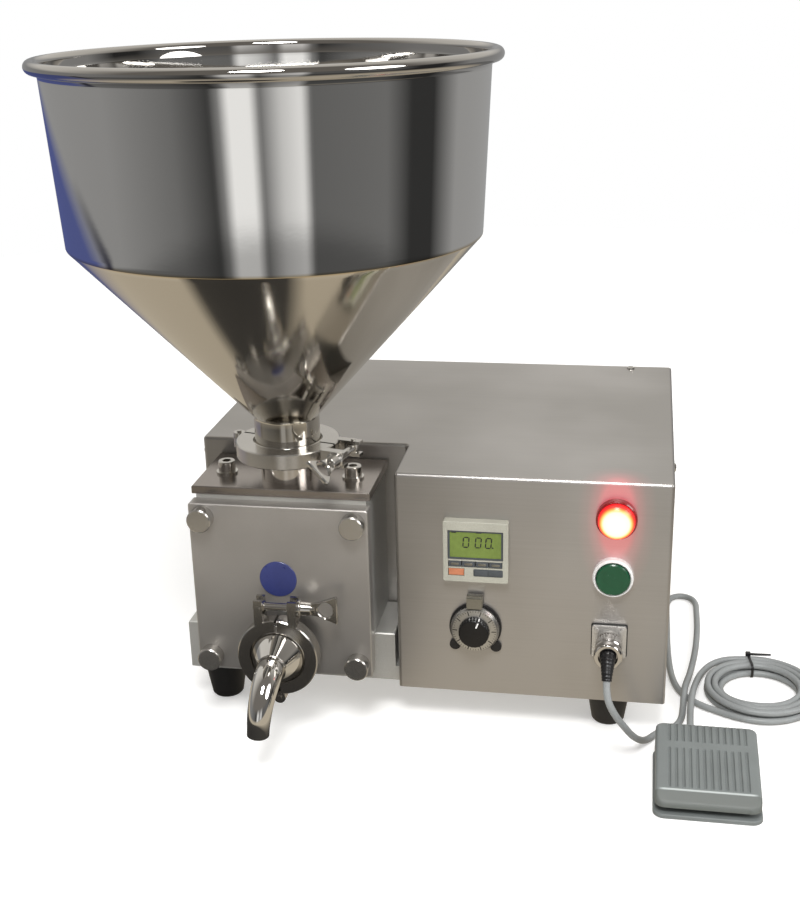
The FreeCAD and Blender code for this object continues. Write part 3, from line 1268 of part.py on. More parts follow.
def build_machine():
    cabinet_shell()
    rear_panel()
    chassis_plate()
    rubber_feet()
    cabinet_screws()
    mains_inlet()
    gear_motor()
    motor_bracket()
    base_bar()
    pump_block()
    rotor("drive_rotor", drive_x, 0)
    rotor("idler_rotor", idler_x, 1)
    shafts()
    pump_lid()
    lid_screws()
    pump_cover()
    cover_studs()
    for name, (x, z) in zip(("bottom_left", "bottom_right", "top_left", "top_right"), stud_spots):
        thumb_nut("thumb_nut_" + name, x, z)
    badge_disc()
    joint_gaskets()
    hopper()
    build_clamps()
    outlet_nozzle()
    timer_housing()
    timer_display()
    timer_keys()
    dial_base()
    dial_turning()
    dial_lock()
    lamp()
    start_button()
    pedal_socket()
    plug()
    plug_boot()
    cable()
    pedal_base()
    pedal_pin()
    pedal_switch()
    pedal_cover()


def check_and_export():
    """Stops on any failed object or bad shape, then writes one file for each sub-part."""
    for item in doc.Objects:
        if "Invalid" in item.State or "Error" in item.State:
            raise RuntimeError("%s failed: %s" % (item.Label, item.State))
    for piece in NODES:
        if piece.Shape.isNull() or not piece.Shape.isValid():
            raise RuntimeError("%s has no valid shape" % piece.Label)
    os.makedirs("parts", exist_ok=True)
    for piece in NODES:
        piece.Shape.exportStep("parts/%s.step" % piece.Label)
        print("%-28s solids %d  volume %.0f" % (piece.Label, len(piece.Shape.Solids), piece.Shape.Volume))
    print("sub-parts", len(NODES))


build_machine()
doc.recompute()
check_and_export()
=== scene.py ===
"""Looks of the table-top donut filler: finishes, cable, and the small detail on its parts.

Points come from the machine's datum in millimetres, as in the part's source, and at() turns
them into the scene's metres.
"""
import json
import math
import bmesh
import bpy
from mathutils import Matrix, Vector


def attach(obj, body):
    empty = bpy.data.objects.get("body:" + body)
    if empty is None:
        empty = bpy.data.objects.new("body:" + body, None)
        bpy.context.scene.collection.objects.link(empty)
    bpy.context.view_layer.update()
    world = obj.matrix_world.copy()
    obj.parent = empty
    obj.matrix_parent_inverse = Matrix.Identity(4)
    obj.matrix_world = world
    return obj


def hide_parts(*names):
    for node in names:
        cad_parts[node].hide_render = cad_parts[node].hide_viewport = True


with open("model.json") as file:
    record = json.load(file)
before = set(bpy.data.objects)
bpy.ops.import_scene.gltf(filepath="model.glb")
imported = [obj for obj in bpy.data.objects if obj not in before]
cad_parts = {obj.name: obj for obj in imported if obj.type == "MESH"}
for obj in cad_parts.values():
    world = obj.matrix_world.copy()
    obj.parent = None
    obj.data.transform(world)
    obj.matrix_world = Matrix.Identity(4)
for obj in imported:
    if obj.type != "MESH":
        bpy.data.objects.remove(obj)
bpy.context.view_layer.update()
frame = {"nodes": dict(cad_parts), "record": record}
nodes = frame["nodes"]
DATUM = Vector((11.65, 77.65, 0.0))


def at(x, y, z):
    """A point of the machine in metres."""
    return (Vector((x, y, z)) - DATUM) * 0.001


def tone(red, green, blue):
    """A colour from its screen values, 0 to 255."""
    linear = []
    for value in (red, green, blue):
        value = value / 255
        linear.append(value / 12.92 if value < 0.04045 else ((value + 0.055) / 1.055) ** 2.4)
    return (*linear, 1.0)


def shaded(colour, share):
    """A darker copy of a colour."""
    return (*(value * share for value in colour[:3]), 1.0)


def new_object(name, data):
    """An object of some data, linked to the scene."""
    item = bpy.data.objects.new(name, data)
    bpy.context.scene.collection.objects.link(item)
    return item


def as_data(name, mesh):
    """Mesh data of a bmesh, which is freed."""
    data = bpy.data.meshes.new(name)
    mesh.to_mesh(data)
    mesh.free()
    return data


# ---------------------------------------------------------------- camera and studio

def add_camera():
    """Camera with its lens, place and aim."""
    right = Vector((0.98409392, 0.17610345, -0.02338215))
    down = Vector((0.03889798, -0.34202845, -0.93888417))
    ahead = Vector((-0.17333811, 0.92304069, -0.34343819))
    data = bpy.data.cameras.new("camera")
    data.sensor_width = 36
    data.lens = 52.95
    data.clip_start = 0.02
    camera = new_object("camera", data)
    turned = Matrix((right, -down, -ahead)).transposed().to_4x4()
    camera.matrix_world = Matrix.Translation(at(173.46, -896.24, 551.22)) @ turned
    bpy.context.scene.camera = camera
    bpy.context.scene.view_settings.view_transform = "Standard"


class Tree:
    """Short names for building a node tree."""

    def __init__(self, tree):
        self.tree = tree
        tree.nodes.clear()

    def add(self, kind, **values):
        item = self.tree.nodes.new("ShaderNode" + kind)
        for name, value in values.items():
            if hasattr(item, name):
                setattr(item, name, value)
            else:
                self.put(item, name.replace("_", " "), value)
        return item

    def put(self, item, name, value):
        """Sets or links an input, by its name or its place."""
        socket = item.inputs[name]
        if isinstance(value, bpy.types.NodeSocket):
            self.tree.links.new(value, socket)
        else:
            socket.default_value = value

    def math(self, operation, first, second=0.0, third=0.0):
        item = self.add("Math", operation=operation)
        for place, value in enumerate((first, second, third)):
            self.put(item, place, value)
        return item.outputs[0]

    def mix(self, factor, first, second):
        """Mixes two colours."""
        item = self.add("Mix", data_type="RGBA")
        for place, value in ((0, factor), (6, first), (7, second)):
            self.put(item, place, value)
        return item.outputs[2]

    def blend(self, factor, first, second):
        """Mixes two shaders."""
        item = self.add("MixShader")
        for place, value in enumerate((factor, first, second)):
            self.put(item, place, value)
        return item.outputs[0]

    def apart(self, vector):
        """The three parts of a vector."""
        return self.add("SeparateXYZ", Vector=vector).outputs

    def spot(self, origin=(0.0, 0.0, 0.0)):
        """The piece's own coordinates, counted from an origin."""
        parts = self.apart(self.add("TexCoord").outputs["Object"])
        return [self.math("SUBTRACT", part, value) for part, value in zip(parts, origin)]

    def distance(self, *parts):
        """Length of a vector with these parts."""
        total = 0.0
        for part in parts:
            total = self.math("MULTIPLY_ADD", part, part, total)
        return self.math("SQRT", total)

    def facing(self):
        """The surface's normal."""
        return self.apart(self.add("NewGeometry").outputs["Normal"])

    def by_ray(self, seen, gloss, plain):
        """One shader for the camera, one for gloss, and one for plain light."""
        rays = self.add("LightPath").outputs
        glossy = self.math("MAXIMUM", rays["Is Glossy Ray"], rays["Is Transmission Ray"])
        return self.blend(rays["Is Camera Ray"], self.blend(glossy, plain, gloss), seen)

    def ramp(self, factor, *stops):
        """Colour ramp; a plain number stands for a grey."""
        item = self.add("ValToRGB")
        self.put(item, 0, factor)
        band = item.color_ramp
        while len(band.elements) < len(stops):
            band.elements.new(0.5)
        for element, (place, colour) in zip(band.elements, stops):
            element.position = place
            element.color = colour if hasattr(colour, "__len__") else (colour, colour, colour, 1.0)
        return item.outputs[0]


# Greys of a plain studio around the machine, by bearing from the front in degrees: two bright
# panels, and dark screens between pale walls. They show only in gloss.
BANDS = [
    (-180, 150), (-90, 140), (-50, 110), (-30, 60), (-25, 130), (-20, 240), (-10, 240), (-5, 110),
    (5, 200), (15, 230), (20, 100), (60, 110), (75, 50), (90, 50), (110, 150), (180, 160),
]


def add_world():
    """White to the camera, plain light on the object, and banded walls in gloss."""
    world = bpy.data.worlds.new("studio")
    bpy.context.scene.world = world
    world.use_nodes = True
    tree = Tree(world.node_tree)
    out = tree.add("OutputWorld")
    over, deep, height = tree.apart(tree.add("TexCoord").outputs["Generated"])
    cosine, sine = 0.963, 0.27  # of the bearing from which the bands are counted
    side = tree.math("MULTIPLY_ADD", over, cosine, tree.math("MULTIPLY", deep, sine))
    front = tree.math("MULTIPLY_ADD", over, sine, tree.math("MULTIPLY", deep, -cosine))
    share = tree.math("MULTIPLY_ADD", tree.math("ARCTAN2", side, front), 0.5 / math.pi, 0.5)
    rise = tree.math("MULTIPLY_ADD", height, 0.5, 0.5)
    lower = tree.ramp(rise, (0.0, 1.0), (0.350, 1.0), (0.361, 0.0), (1.0, 0.0))
    bands = tree.ramp(share, *(((angle + 180) / 360, tone(grey, grey, grey)) for angle, grey in BANDS))
    walls = tree.mix(tree.math("MULTIPLY", lower, 0.5), bands, tone(40, 40, 40))
    slanted = tree.math("ADD", share, tree.math("MULTIPLY_ADD", tree.math("MAXIMUM", height, -0.26), 0.833, 0.0833))
    edge = tree.math("MULTIPLY", tree.ramp(slanted, (0.070, 0.0), (0.081, 0.9), (0.087, 0.9), (0.096, 0.0)),
                     tree.ramp(rise, (0.37, 1.0), (0.41, 0.0)))
    blue = tree.math("MULTIPLY", tree.ramp(slanted, (0.050, 1.0), (0.084, 0.0)),
                     tree.ramp(share, (0.012, 0.0), (0.05, 1.0)))
    walls = tree.mix(blue, walls, tone(80, 88, 138))
    walls = tree.mix(edge, walls, tone(40, 40, 56))
    ceiling = tree.ramp(rise, (0.0, 0.0), (0.56, 0.0), (0.66, 1.0), (1.0, 1.0))
    above = tree.ramp(share, (0.0, tone(226, 223, 217)), (0.16, tone(216, 213, 207)), (0.30, tone(122, 118, 113)),
                      (0.70, tone(122, 118, 113)), (0.84, tone(216, 213, 207)), (1.0, tone(226, 223, 217)))
    room = tree.mix(ceiling, walls, above)
    plain = tree.add("Background", Color=(1.0, 0.99, 0.97, 1.0), Strength=0.8)
    shown = tree.add("Background", Color=(1.0, 1.0, 1.0, 1.0), Strength=1.0)
    mirrored = tree.add("Background", Color=room, Strength=1.0)
    tree.put(out, 0, tree.by_ray(shown.outputs[0], mirrored.outputs[0], plain.outputs[0]))


def add_floor():
    """Round pale floor that keeps the shadow. In gloss it is a warm table top that ends in the room."""
    mesh = bmesh.new()
    bmesh.ops.create_circle(mesh, cap_ends=True, segments=96, radius=1.9)
    data = as_data("floor", mesh)
    floor = new_object("floor", data)
    floor.location = (0.0, 0.1, -0.0004)
    material = bpy.data.materials.new("floor")
    material.use_nodes = True
    tree = Tree(material.node_tree)
    out = tree.add("OutputMaterial")
    spot = tree.add("TexCoord").outputs["Object"]
    away = tree.add("VectorMath", operation="LENGTH", Vector=spot)
    surface = tree.add("BsdfDiffuse", Color=(0.80, 0.795, 0.785, 1.0))
    glow = tree.add("Emission", Color=(1.0, 1.0, 1.0, 1.0), Strength=0.34)
    seen = tree.add("AddShader")
    tree.put(seen, 0, surface.outputs[0])
    tree.put(seen, 1, glow.outputs[0])
    shift = tree.add("Mapping", Vector=spot)
    wide, deep = 0.17, 0.19
    shift.inputs["Location"].default_value = (0.165 / wide, 0.31 / deep, 0.0)
    shift.inputs["Scale"].default_value = (1 / wide, 1 / deep, 1.0)
    patch = tree.add("VectorMath", operation="LENGTH", Vector=shift.outputs[0])
    shade = tree.ramp(patch.outputs["Value"], (0.0, tone(60, 58, 56)), (0.74, tone(70, 68, 65)),
                      (1.0, tone(198, 188, 170)))
    table = tree.add("Emission", Color=shade, Strength=1.0)
    through = tree.add("BsdfTransparent")
    gloss = tree.blend(tree.ramp(away.outputs["Value"], (0.0, 0.0), (0.55, 0.0), (0.95, 1.0)),
                       table.outputs[0], through.outputs[0])
    tree.put(out, 0, tree.by_ray(seen.outputs[0], gloss, surface.outputs[0]))
    data.materials.append(material)


def add_lamp(name, place, size, power):
    """Round area lamp aimed at the machine."""
    data = bpy.data.lights.new(name, "AREA")
    data.shape = "DISK"
    data.size = size
    data.energy = power
    lamp = new_object(name, data)
    lamp.location = place
    lamp.rotation_euler = (Vector((0.0, 0.0, 0.2)) - Vector(place)).to_track_quat("-Z", "Y").to_euler()


# ---------------------------------------------------------------- shapes

UPRIGHT = Matrix.Identity(3)
FACING_FRONT = Matrix.Rotation(math.radians(90), 3, "X")


def show(name, mesh, material, body="machine", sharp=35.0):
    """Makes an object of a bmesh, with its material and the body that it rides on."""
    bmesh.ops.recalc_face_normals(mesh, faces=mesh.faces)
    data = as_data(name, mesh)
    data.shade_smooth()
    data.set_sharp_from_angle(angle=math.radians(sharp))
    data.materials.append(material)
    piece = new_object(name, data)
    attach(piece, body)
    return piece


def skin(mesh, rings, closed_along=False):
    """Joins rings of equally many vertices with faces, around each ring and from ring to ring."""
    pairs = list(zip(rings, rings[1:]))
    if closed_along:
        pairs.append((rings[-1], rings[0]))
    for first, second in pairs:
        count = len(first)
        for place in range(count):
            after = (place + 1) % count
            mesh.faces.new((first[place], first[after], second[after], second[place]))


def cap(mesh, rings):
    """Closes the first and the last ring."""
    mesh.faces.new(list(reversed(rings[0])))
    mesh.faces.new(rings[-1])


def new_vertex(mesh, spot, facing, point):
    """Vertex at a point about spot, turned by facing."""
    return mesh.verts.new(at(*(Vector(spot) + facing @ Vector(point))))


def ring_about(mesh, centre, across, up, radius, count):
    """Ring of vertices about a centre, in the plane of two unit directions."""
    made = []
    for place in range(count):
        angle = math.tau * place / count
        made.append(mesh.verts.new(at(*(centre + (across * math.cos(angle) + up * math.sin(angle)) * radius))))
    return made


def lathe(mesh, profile, spot, facing=UPRIGHT, count=96):
    """Turns a closed half section of (radius, height) about an axis through spot."""
    spot = Vector(spot)
    across, up, along = (facing @ Vector(axis) for axis in ((1, 0, 0), (0, 1, 0), (0, 0, 1)))
    rings = [ring_about(mesh, spot + along * height, across, up, radius, count) for radius, height in profile]
    skin(mesh, rings, closed_along=True)


def rounded(corners, radius, steps=5):
    """Rounds the corners of a closed half section or outline; radius may differ by corner."""
    made = []
    count = len(corners)
    for place in range(count):
        before, corner, after = (Vector(corners[(place + step) % count]) for step in (-1, 0, 1))
        size = radius[place] if hasattr(radius, "__len__") else radius
        inward, onward = (corner - before), (after - corner)
        if size == 0 or min(inward.length, onward.length) < 1e-6:
            made.append(tuple(corner))
            continue
        half = inward.angle(onward) / 2
        reach = min(size * math.tan(half), inward.length * 0.48, onward.length * 0.48)
        start, end = corner - inward.normalized() * reach, corner + onward.normalized() * reach
        for step in range(steps + 1):
            share = step / steps
            first, last = start.lerp(corner, share), corner.lerp(end, share)
            made.append(tuple(first.lerp(last, share)))
    return made


def slab(mesh, outline, low, high, spot, facing=UPRIGHT, edge=0.0):
    """Plate of an outline between two heights, its front edge rounded off by edge."""
    middle = sum((Vector(corner) for corner in outline), Vector((0, 0))) / len(outline)
    levels = [(low, 0.0), (high - edge, 0.0)]
    if edge:
        levels += [(high - edge * (1 - math.sin(math.radians(turn))), edge * (1 - math.cos(math.radians(turn))))
                   for turn in (30, 60, 90)]
    rings = []
    for level, inset in levels:
        ring = []
        for corner in outline:
            corner = Vector(corner)
            corner = corner - (corner - middle).normalized() * inset
            ring.append(new_vertex(mesh, spot, facing, (*corner, level)))
        rings.append(ring)
    skin(mesh, rings)
    cap(mesh, rings)


def box_outline(left, right, low, high, radius=0.0, steps=4):
    """Outline of a rectangle, its corners rounded where a radius is given."""
    corners = [(left, low), (right, low), (right, high), (left, high)]
    return rounded(corners, radius, steps) if radius else corners


# ---------------------------------------------------------------- cable

# Points of the cable's middle line. At a height of 2.6 it lies on the table.
LEAD_ROUTE = [
    (163.5, -50.5, 50.0), (170.5, -43.5, 36.0), (179.5, -28.0, 16.0), (188.0, -10.0, 2.6),
    (196.5, 4.0, 2.6), (208.0, 10.5, 2.6), (215.0, 24.0, 2.6), (216.6, 43.0, 3.4), (217.4, 60.5, 8.4),
    (219.6, 79.0, 5.0), (223.2, 99.0, 2.6), (228.8, 140.0, 2.6), (231.3, 184.0, 2.6),
    (231.2, 212.0, 2.6), (231.4, 227.5, 2.6), (227.6, 238.6, 2.6), (218.6, 243.4, 2.6),
    (209.6, 238.9, 2.6), (205.4, 227.5, 2.6), (205.0, 208.0, 2.6), (205.2, 185.0, 2.6), (205.1, 151.0, 2.6),
    (206.0, 117.0, 2.6), (209.0, 84.0, 2.6),
    (216.4, 62.5, 2.6), (229.5, 49.0, 2.6), (243.5, 41.0, 2.6)]
TAIL_ROUTE = [
    (250.0, 117.6, 6.8), (239.0, 111.5, 4.6), (231.6, 98.0, 3.4),
    (227.4, 80.0, 5.8), (223.8, 59.0, 8.4), (221.4, 33.0, 8.6), (220.9, 5.0, 7.8), (221.0, -18.0, 8.0)]
BOOT_START = (158.6, -25.0, 80.5)
BOOT_DROOP = math.radians(60.0)
BOOT_REACH = 22.0 / BOOT_DROOP
COIL = (276.0, 75.0)
CABLE_RADIUS = 2.6


def boot_spot(angle):
    """A point of the boot's axis, by how far it has turned down."""
    x, y, z = BOOT_START
    return (x, y - BOOT_REACH * math.sin(angle), z - BOOT_REACH * (1 - math.cos(angle)))


def coil_turns():
    """Turns of the coil: in along the table, up, and out again over the first ones."""
    per_turn = 16
    start = 240.8
    total = 5.631
    steps = int(total * per_turn)
    points = []
    for step in range(steps + 1):
        turns = total * step / steps
        if turns < 2.75:
            radius = 45.4 - 5.45 * turns
            height = CABLE_RADIUS
        elif turns < 3.1:
            part = (turns - 2.75) / 0.35
            radius = 30.4 + 0.7 * part
            height = CABLE_RADIUS + 5.6 * (3 * part ** 2 - 2 * part ** 3)
        else:
            radius = 31.1 + 5.55 * (turns - 3.1)
            height = 8.2
        angle = math.radians(start + 360 * turns)
        points.append((COIL[0] + radius * math.cos(angle), COIL[1] + radius * math.sin(angle), height))
    return points


def add_cable(material, boot, collar):
    """The cable from the boot's tip through the coil to the pedal."""
    tip = boot_spot(BOOT_DROOP)
    below = (tip[0], tip[1] - 10.0 * math.cos(BOOT_DROOP), tip[2] - 10.0 * math.sin(BOOT_DROOP))
    points = [tip, below] + LEAD_ROUTE + coil_turns() + TAIL_ROUTE
    curve = bpy.data.curves.new("cable", "CURVE")
    curve.dimensions = "3D"
    spline = curve.splines.new("NURBS")
    spline.points.add(len(points) - 1)
    for knot, point in zip(spline.points, points):
        knot.co = (*at(*point), 1.0)
    spline.order_u = 3
    spline.use_endpoint_u = True
    spline.resolution_u = 8
    curve.bevel_depth = CABLE_RADIUS * 0.001
    curve.bevel_resolution = 5
    curve.use_fill_caps = True
    cable = new_object("cable", curve)
    curve.materials.append(material)
    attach(cable, "machine")
    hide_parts("cable_lead", "cable_coil", "cable_tail")


# ---------------------------------------------------------------- spun and bent steel

PUMP_X, INLET_Y = -83.5, 20.5
OUTLET_Z = 70.2


def arc(centre, radius, first, last, steps):
    """Points of an arc of a half section, by angle in degrees."""
    made = []
    for step in range(steps + 1):
        angle = math.radians(first + (last - first) * step / steps)
        made.append((centre[0] + radius * math.cos(angle), centre[1] + radius * math.sin(angle)))
    return made


def add_hopper(material):
    """Spun bowl with a weld line between cone and drum and a rolled rim."""
    outside = rounded([(23.0, 216.5), (32.0, 216.5), (32.0, 218.5), (24.4, 221.27), (24.4, 224.0), (24.4, 236.0),
                       (24.4, 241.1), (29.26, 246.45), (142.35, 370.79), (146.0, 374.8), (146.22, 378.8),
                       (152.13, 484.4), (152.3, 487.4), (153.6, 491.3)],
                      [0, 0.5, 0.5, 1.5, 0, 0, 4.0, 0, 0, 1.2, 0, 0, 2.0, 0])
    inside = rounded([(151.9, 494.4), (150.9, 488.8), (144.6, 376.2), (23.0, 242.5), (23.0, 216.5)],
                     [0, 4.0, 3.0, 4.0, 0])
    mesh = bmesh.new()
    lathe(mesh, outside + arc((156.3, 494.8), 4.4, -128, 180, 24) + inside[:-1], (PUMP_X, INLET_Y, 0.0), count=256)
    piece = show("hopper_shell", mesh, material, sharp=50.0)
    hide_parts("hopper")


def add_nozzle(material):
    """Ferrule, reducing cone and tapering bend in one skin, outside and inside. The bend leans a little."""
    face = -36.5
    wall = 1.2
    cone = rounded([(13.5, 0.0), (24.5, 0.0), (24.5, 2.0), (19.6, 3.78), (19.6, 6.0), (11.4, 21.0), (10.9, 22.0)],
                   [0, 0.5, 0.5, 0.8, 1.5, 3.0, 0])
    bore = [(9.7, 22.0), (9.7, 21.0), (17.2, 6.0), (13.5, 6.0)]
    start, reach = face - 22.0, 32.0
    lean = math.radians(5.0)
    down = Vector((-math.sin(lean), 0.0, -math.cos(lean)))
    across = Vector((math.cos(lean), 0.0, -math.sin(lean)))
    stations = []
    for step in range(1, 25):
        share = step / 24
        turn = math.radians(90) * share
        radius = 10.9 + (8.1 - 10.9) * share
        centre = Vector((PUMP_X, start - reach * math.sin(turn), OUTLET_Z)) + down * reach * (1 - math.cos(turn))
        stations.append((centre, Vector((0.0, -math.sin(turn), 0.0)) - down * math.cos(turn), radius))
    tip = Vector((PUMP_X, start - reach, OUTLET_Z)) + down * (reach + 4.0)
    stations.append((tip, Vector((0.0, -1.0, 0.0)), 8.1))
    mesh = bmesh.new()

    def straight(section):
        return [ring_about(mesh, Vector((PUMP_X, face - height, OUTLET_Z)), Vector((1, 0, 0)), Vector((0, 0, 1)),
                           radius, 64) for radius, height in section]

    rings = straight(cone)
    rings += [ring_about(mesh, centre, across, up, radius, 64) for centre, up, radius in stations]
    rings += [ring_about(mesh, centre, across, up, radius - wall, 64) for centre, up, radius in reversed(stations)]
    skin(mesh, rings + straight(bore), closed_along=True)
    piece = show("nozzle_shell", mesh, material, sharp=50.0)
    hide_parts("outlet_nozzle")


def add_wing_nut(name, body, origin, facing, material):
    """Cast wing nut: collar, hub, and a flared wing with an oval hole. Its own y axis runs back to the bolt."""
    face, back, tip, half, edge = -16.1, -27.1, -46.1, 1.8, 0.7
    mesh = bmesh.new()
    turned = facing @ Matrix.Rotation(math.radians(90), 3, "X")
    hub = rounded([(3.06, -face), (6.6, -face), (6.6, 2.5 - face), (5.4, 2.9 - face), (4.9, -back), (3.06, -back)],
                  [0, 0.7, 0.6, 0.8, 1.0, 0], 4)
    lathe(mesh, hub, origin, turned, 48)
    outline = rounded([(-4.6, back + 3.0), (-5.6, back - 5.0), (-11.0, tip + 0.8), (-10.4, tip), (10.4, tip),
                       (11.0, tip + 0.8), (5.6, back - 5.0), (4.6, back + 3.0)],
                      [0, 6.0, 1.5, 1.5, 1.5, 1.5, 6.0, 0], 5)
    middle = Vector((0.0, tip + 9.0))
    rings = [[] for _ in range(8)]
    for step in range(72):
        turn = math.tau * (step + 0.5) / 72
        ray = Vector((math.cos(turn), math.sin(turn)))
        far = 0.0
        for first, last in zip(outline, outline[1:] + outline[:1]):
            first, last = Vector(first) - middle, Vector(last) - middle
            span = last - first
            cross = ray.x * span.y - ray.y * span.x
            if abs(cross) < 1e-9:
                continue
            reach = (first.x * span.y - first.y * span.x) / cross
            share = (first.x * ray.y - first.y * ray.x) / cross
            if reach > 0 and -1e-6 <= share <= 1 + 1e-6:
                far = max(far, reach)
        wide = 6.4 - 1.6 * max(ray.y, 0.0)
        near = 1 / math.sqrt((ray.x / wide) ** 2 + (ray.y / 5.8) ** 2)
        section = ((far, edge - half), (far, half - edge), (far - edge, half), (near + edge, half),
                   (near, half - edge), (near, edge - half), (near + edge, -half), (far - edge, -half))
        for ring, (reach, level) in zip(rings, section):
            spot = middle + ray * reach
            ring.append(new_vertex(mesh, origin, facing, (*spot, level)))
    skin(mesh, rings, closed_along=True)
    piece = show(name + "_wings", mesh, material, body=body, sharp=40.0)
    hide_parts(name)


# ---------------------------------------------------------------- small detail on the panel

TIMER = (60.4, 0.0, 148.2)
DIAL = (59.6, 0.0, 85.2)
LAMP = (161.2, 0.0, 178.0)
SOCKET = (158.6, 0.0, 80.5)
DIAL_FRONT = 2.3


def add_digits(material):
    """Seven-segment figures of the display: 0 00 with a point."""
    mesh = bmesh.new()
    half_wide, half_high, thick, lean = 2.0, 3.9, 0.9, 0.09
    glass, ink = 5.78, 5.86
    bars = ((0, half_high, 1), (0, -half_high, 1), (-half_wide, half_high / 2, 0), (half_wide, half_high / 2, 0),
            (-half_wide, -half_high / 2, 0), (half_wide, -half_high / 2, 0))
    for middle in (-6.9, 2.1, 9.6):
        for u, v, lies in bars:
            length = (half_wide if lies else half_high / 2) - 0.25
            side = thick / 2
            hexagon = [(-length, 0), (side - length, -side), (length - side, -side), (length, 0),
                       (length - side, side), (side - length, side)]
            if not lies:
                hexagon = [(-b, a) for a, b in hexagon]
            outline = [(middle + u + a + (v + b) * lean, 7.5 + v + b) for a, b in hexagon]
            slab(mesh, outline, glass, ink, TIMER, FACING_FRONT)
    dot = [(12.7 + 0.6 * math.cos(step * math.pi / 5), 3.9 + 0.6 * math.sin(step * math.pi / 5))
           for step in range(10)]
    slab(mesh, dot, glass, ink, TIMER, FACING_FRONT)
    for left, right, low, high in ((-17.6, -14.2, 14.6, 15.6), (0.4, 4.4, 14.9, 15.7)):
        slab(mesh, box_outline(left, right, low, high), glass, 5.84, TIMER, FACING_FRONT)
    show("display_figures", mesh, material)


def add_display_frame(material):
    """Narrow dark frame that holds the display's window."""
    mesh = bmesh.new()
    outer = box_outline(-20.25, 20.25, -5.85, 16.85, 0.5, 2)
    inner = box_outline(-18.9, 18.9, -4.6, 15.6, 0.8, 2)
    rings = [[new_vertex(mesh, TIMER, FACING_FRONT, (*corner, level)) for corner in outline]
             for outline, level in ((outer, 5.75), (outer, 6.25), (inner, 6.25), (inner, 5.75))]
    skin(mesh, rings, closed_along=True)
    show("display_frame", mesh, material, sharp=30.0)


def add_key_marks(dark, pale):
    """Second row of keys beside the reset key, and small raised marks on all the keys."""
    mesh = bmesh.new()
    slab(mesh, box_outline(-1.4, 20.2, -18.7, -13.0, 0.8, 3), 6.9, 7.25, TIMER, FACING_FRONT, edge=0.15)
    for left in (-0.4, 10.0):
        slab(mesh, box_outline(left, left + 9.2, -18.0, -13.7, 1.2, 4), 7.2, 7.7, TIMER, FACING_FRONT, edge=0.3)
    show("lower_keys", mesh, dark)
    for number, middle in enumerate((-15.1, -5.1, 4.9, 14.9), 1):
        mesh = bmesh.new()
        slab(mesh, box_outline(middle - 3.0, middle + 3.0, -10.4, -8.6, 0.85, 5), 6.75, 6.95, TIMER, FACING_FRONT,
             edge=0.1)
        show("key_mark_%d" % number, mesh, pale, body="key_%d" % number)


def add_knob(material):
    """Low fluted knob over the turning scale."""
    profile = rounded([(3.2, 6.6), (11.7, 6.6), (11.2, 11.2), (10.5, 11.9), (0.6, 12.3), (0.6, 11.0), (3.2, 11.0)],
                      [0, 0.4, 0.8, 0.8, 0, 0, 0], 4)
    mesh = bmesh.new()
    rings = []
    for radius, height in profile:
        ring = []
        for place in range(168):
            turn = math.tau * place / 168
            flute = 0.42 * max(0.0, math.cos(turn * 24)) ** 2 if radius > 10.8 else 0.0
            reach = radius - flute
            ring.append(new_vertex(mesh, DIAL, FACING_FRONT,
                                   (reach * math.cos(turn), reach * math.sin(turn), DIAL_FRONT + height)))
        rings.append(ring)
    skin(mesh, rings, closed_along=True)
    middle = Vector(DIAL) - Vector((0, DIAL_FRONT + 12.31, 0))
    top = ring_about(mesh, middle, Vector((1, 0, 0)), Vector((0, 0, 1)), 1.2, 24)
    mesh.faces.new(top)
    piece = show("knob_shell", mesh, material, body="speed_dial", sharp=40.0)
    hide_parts("dial_knob")


PEDAL = {"left": 194.7, "right": 266.3, "front": -100.3, "rear": -19.2, "low": 8.0, "corner": 6.8, "edge": 2.4}
PEDAL_TOP = [(-100.3, 10.6), (-91.0, 17.2), (-26.0, 27.0), (-19.2, 26.2)]


def pedal_level(x, y):
    """Height of the treadle: slope, ridge and nose, less its rounded edge."""
    for (before, low), (after, high) in zip(PEDAL_TOP, PEDAL_TOP[1:]):
        if y <= after:
            level = low + (high - low) * (y - before) / (after - before)
            break
    corner, edge = PEDAL["corner"], PEDAL["edge"]
    inward = min(x - PEDAL["left"], PEDAL["right"] - x)
    onward = min(y - PEDAL["front"], PEDAL["rear"] - y)
    if inward < corner and onward < corner:
        inside = corner - math.hypot(corner - inward, corner - onward)
    else:
        inside = min(inward, onward)
    inside = min(max(inside, 0.0), edge)
    return level - edge + math.sqrt(max(edge ** 2 - (edge - inside) ** 2, 0.0))


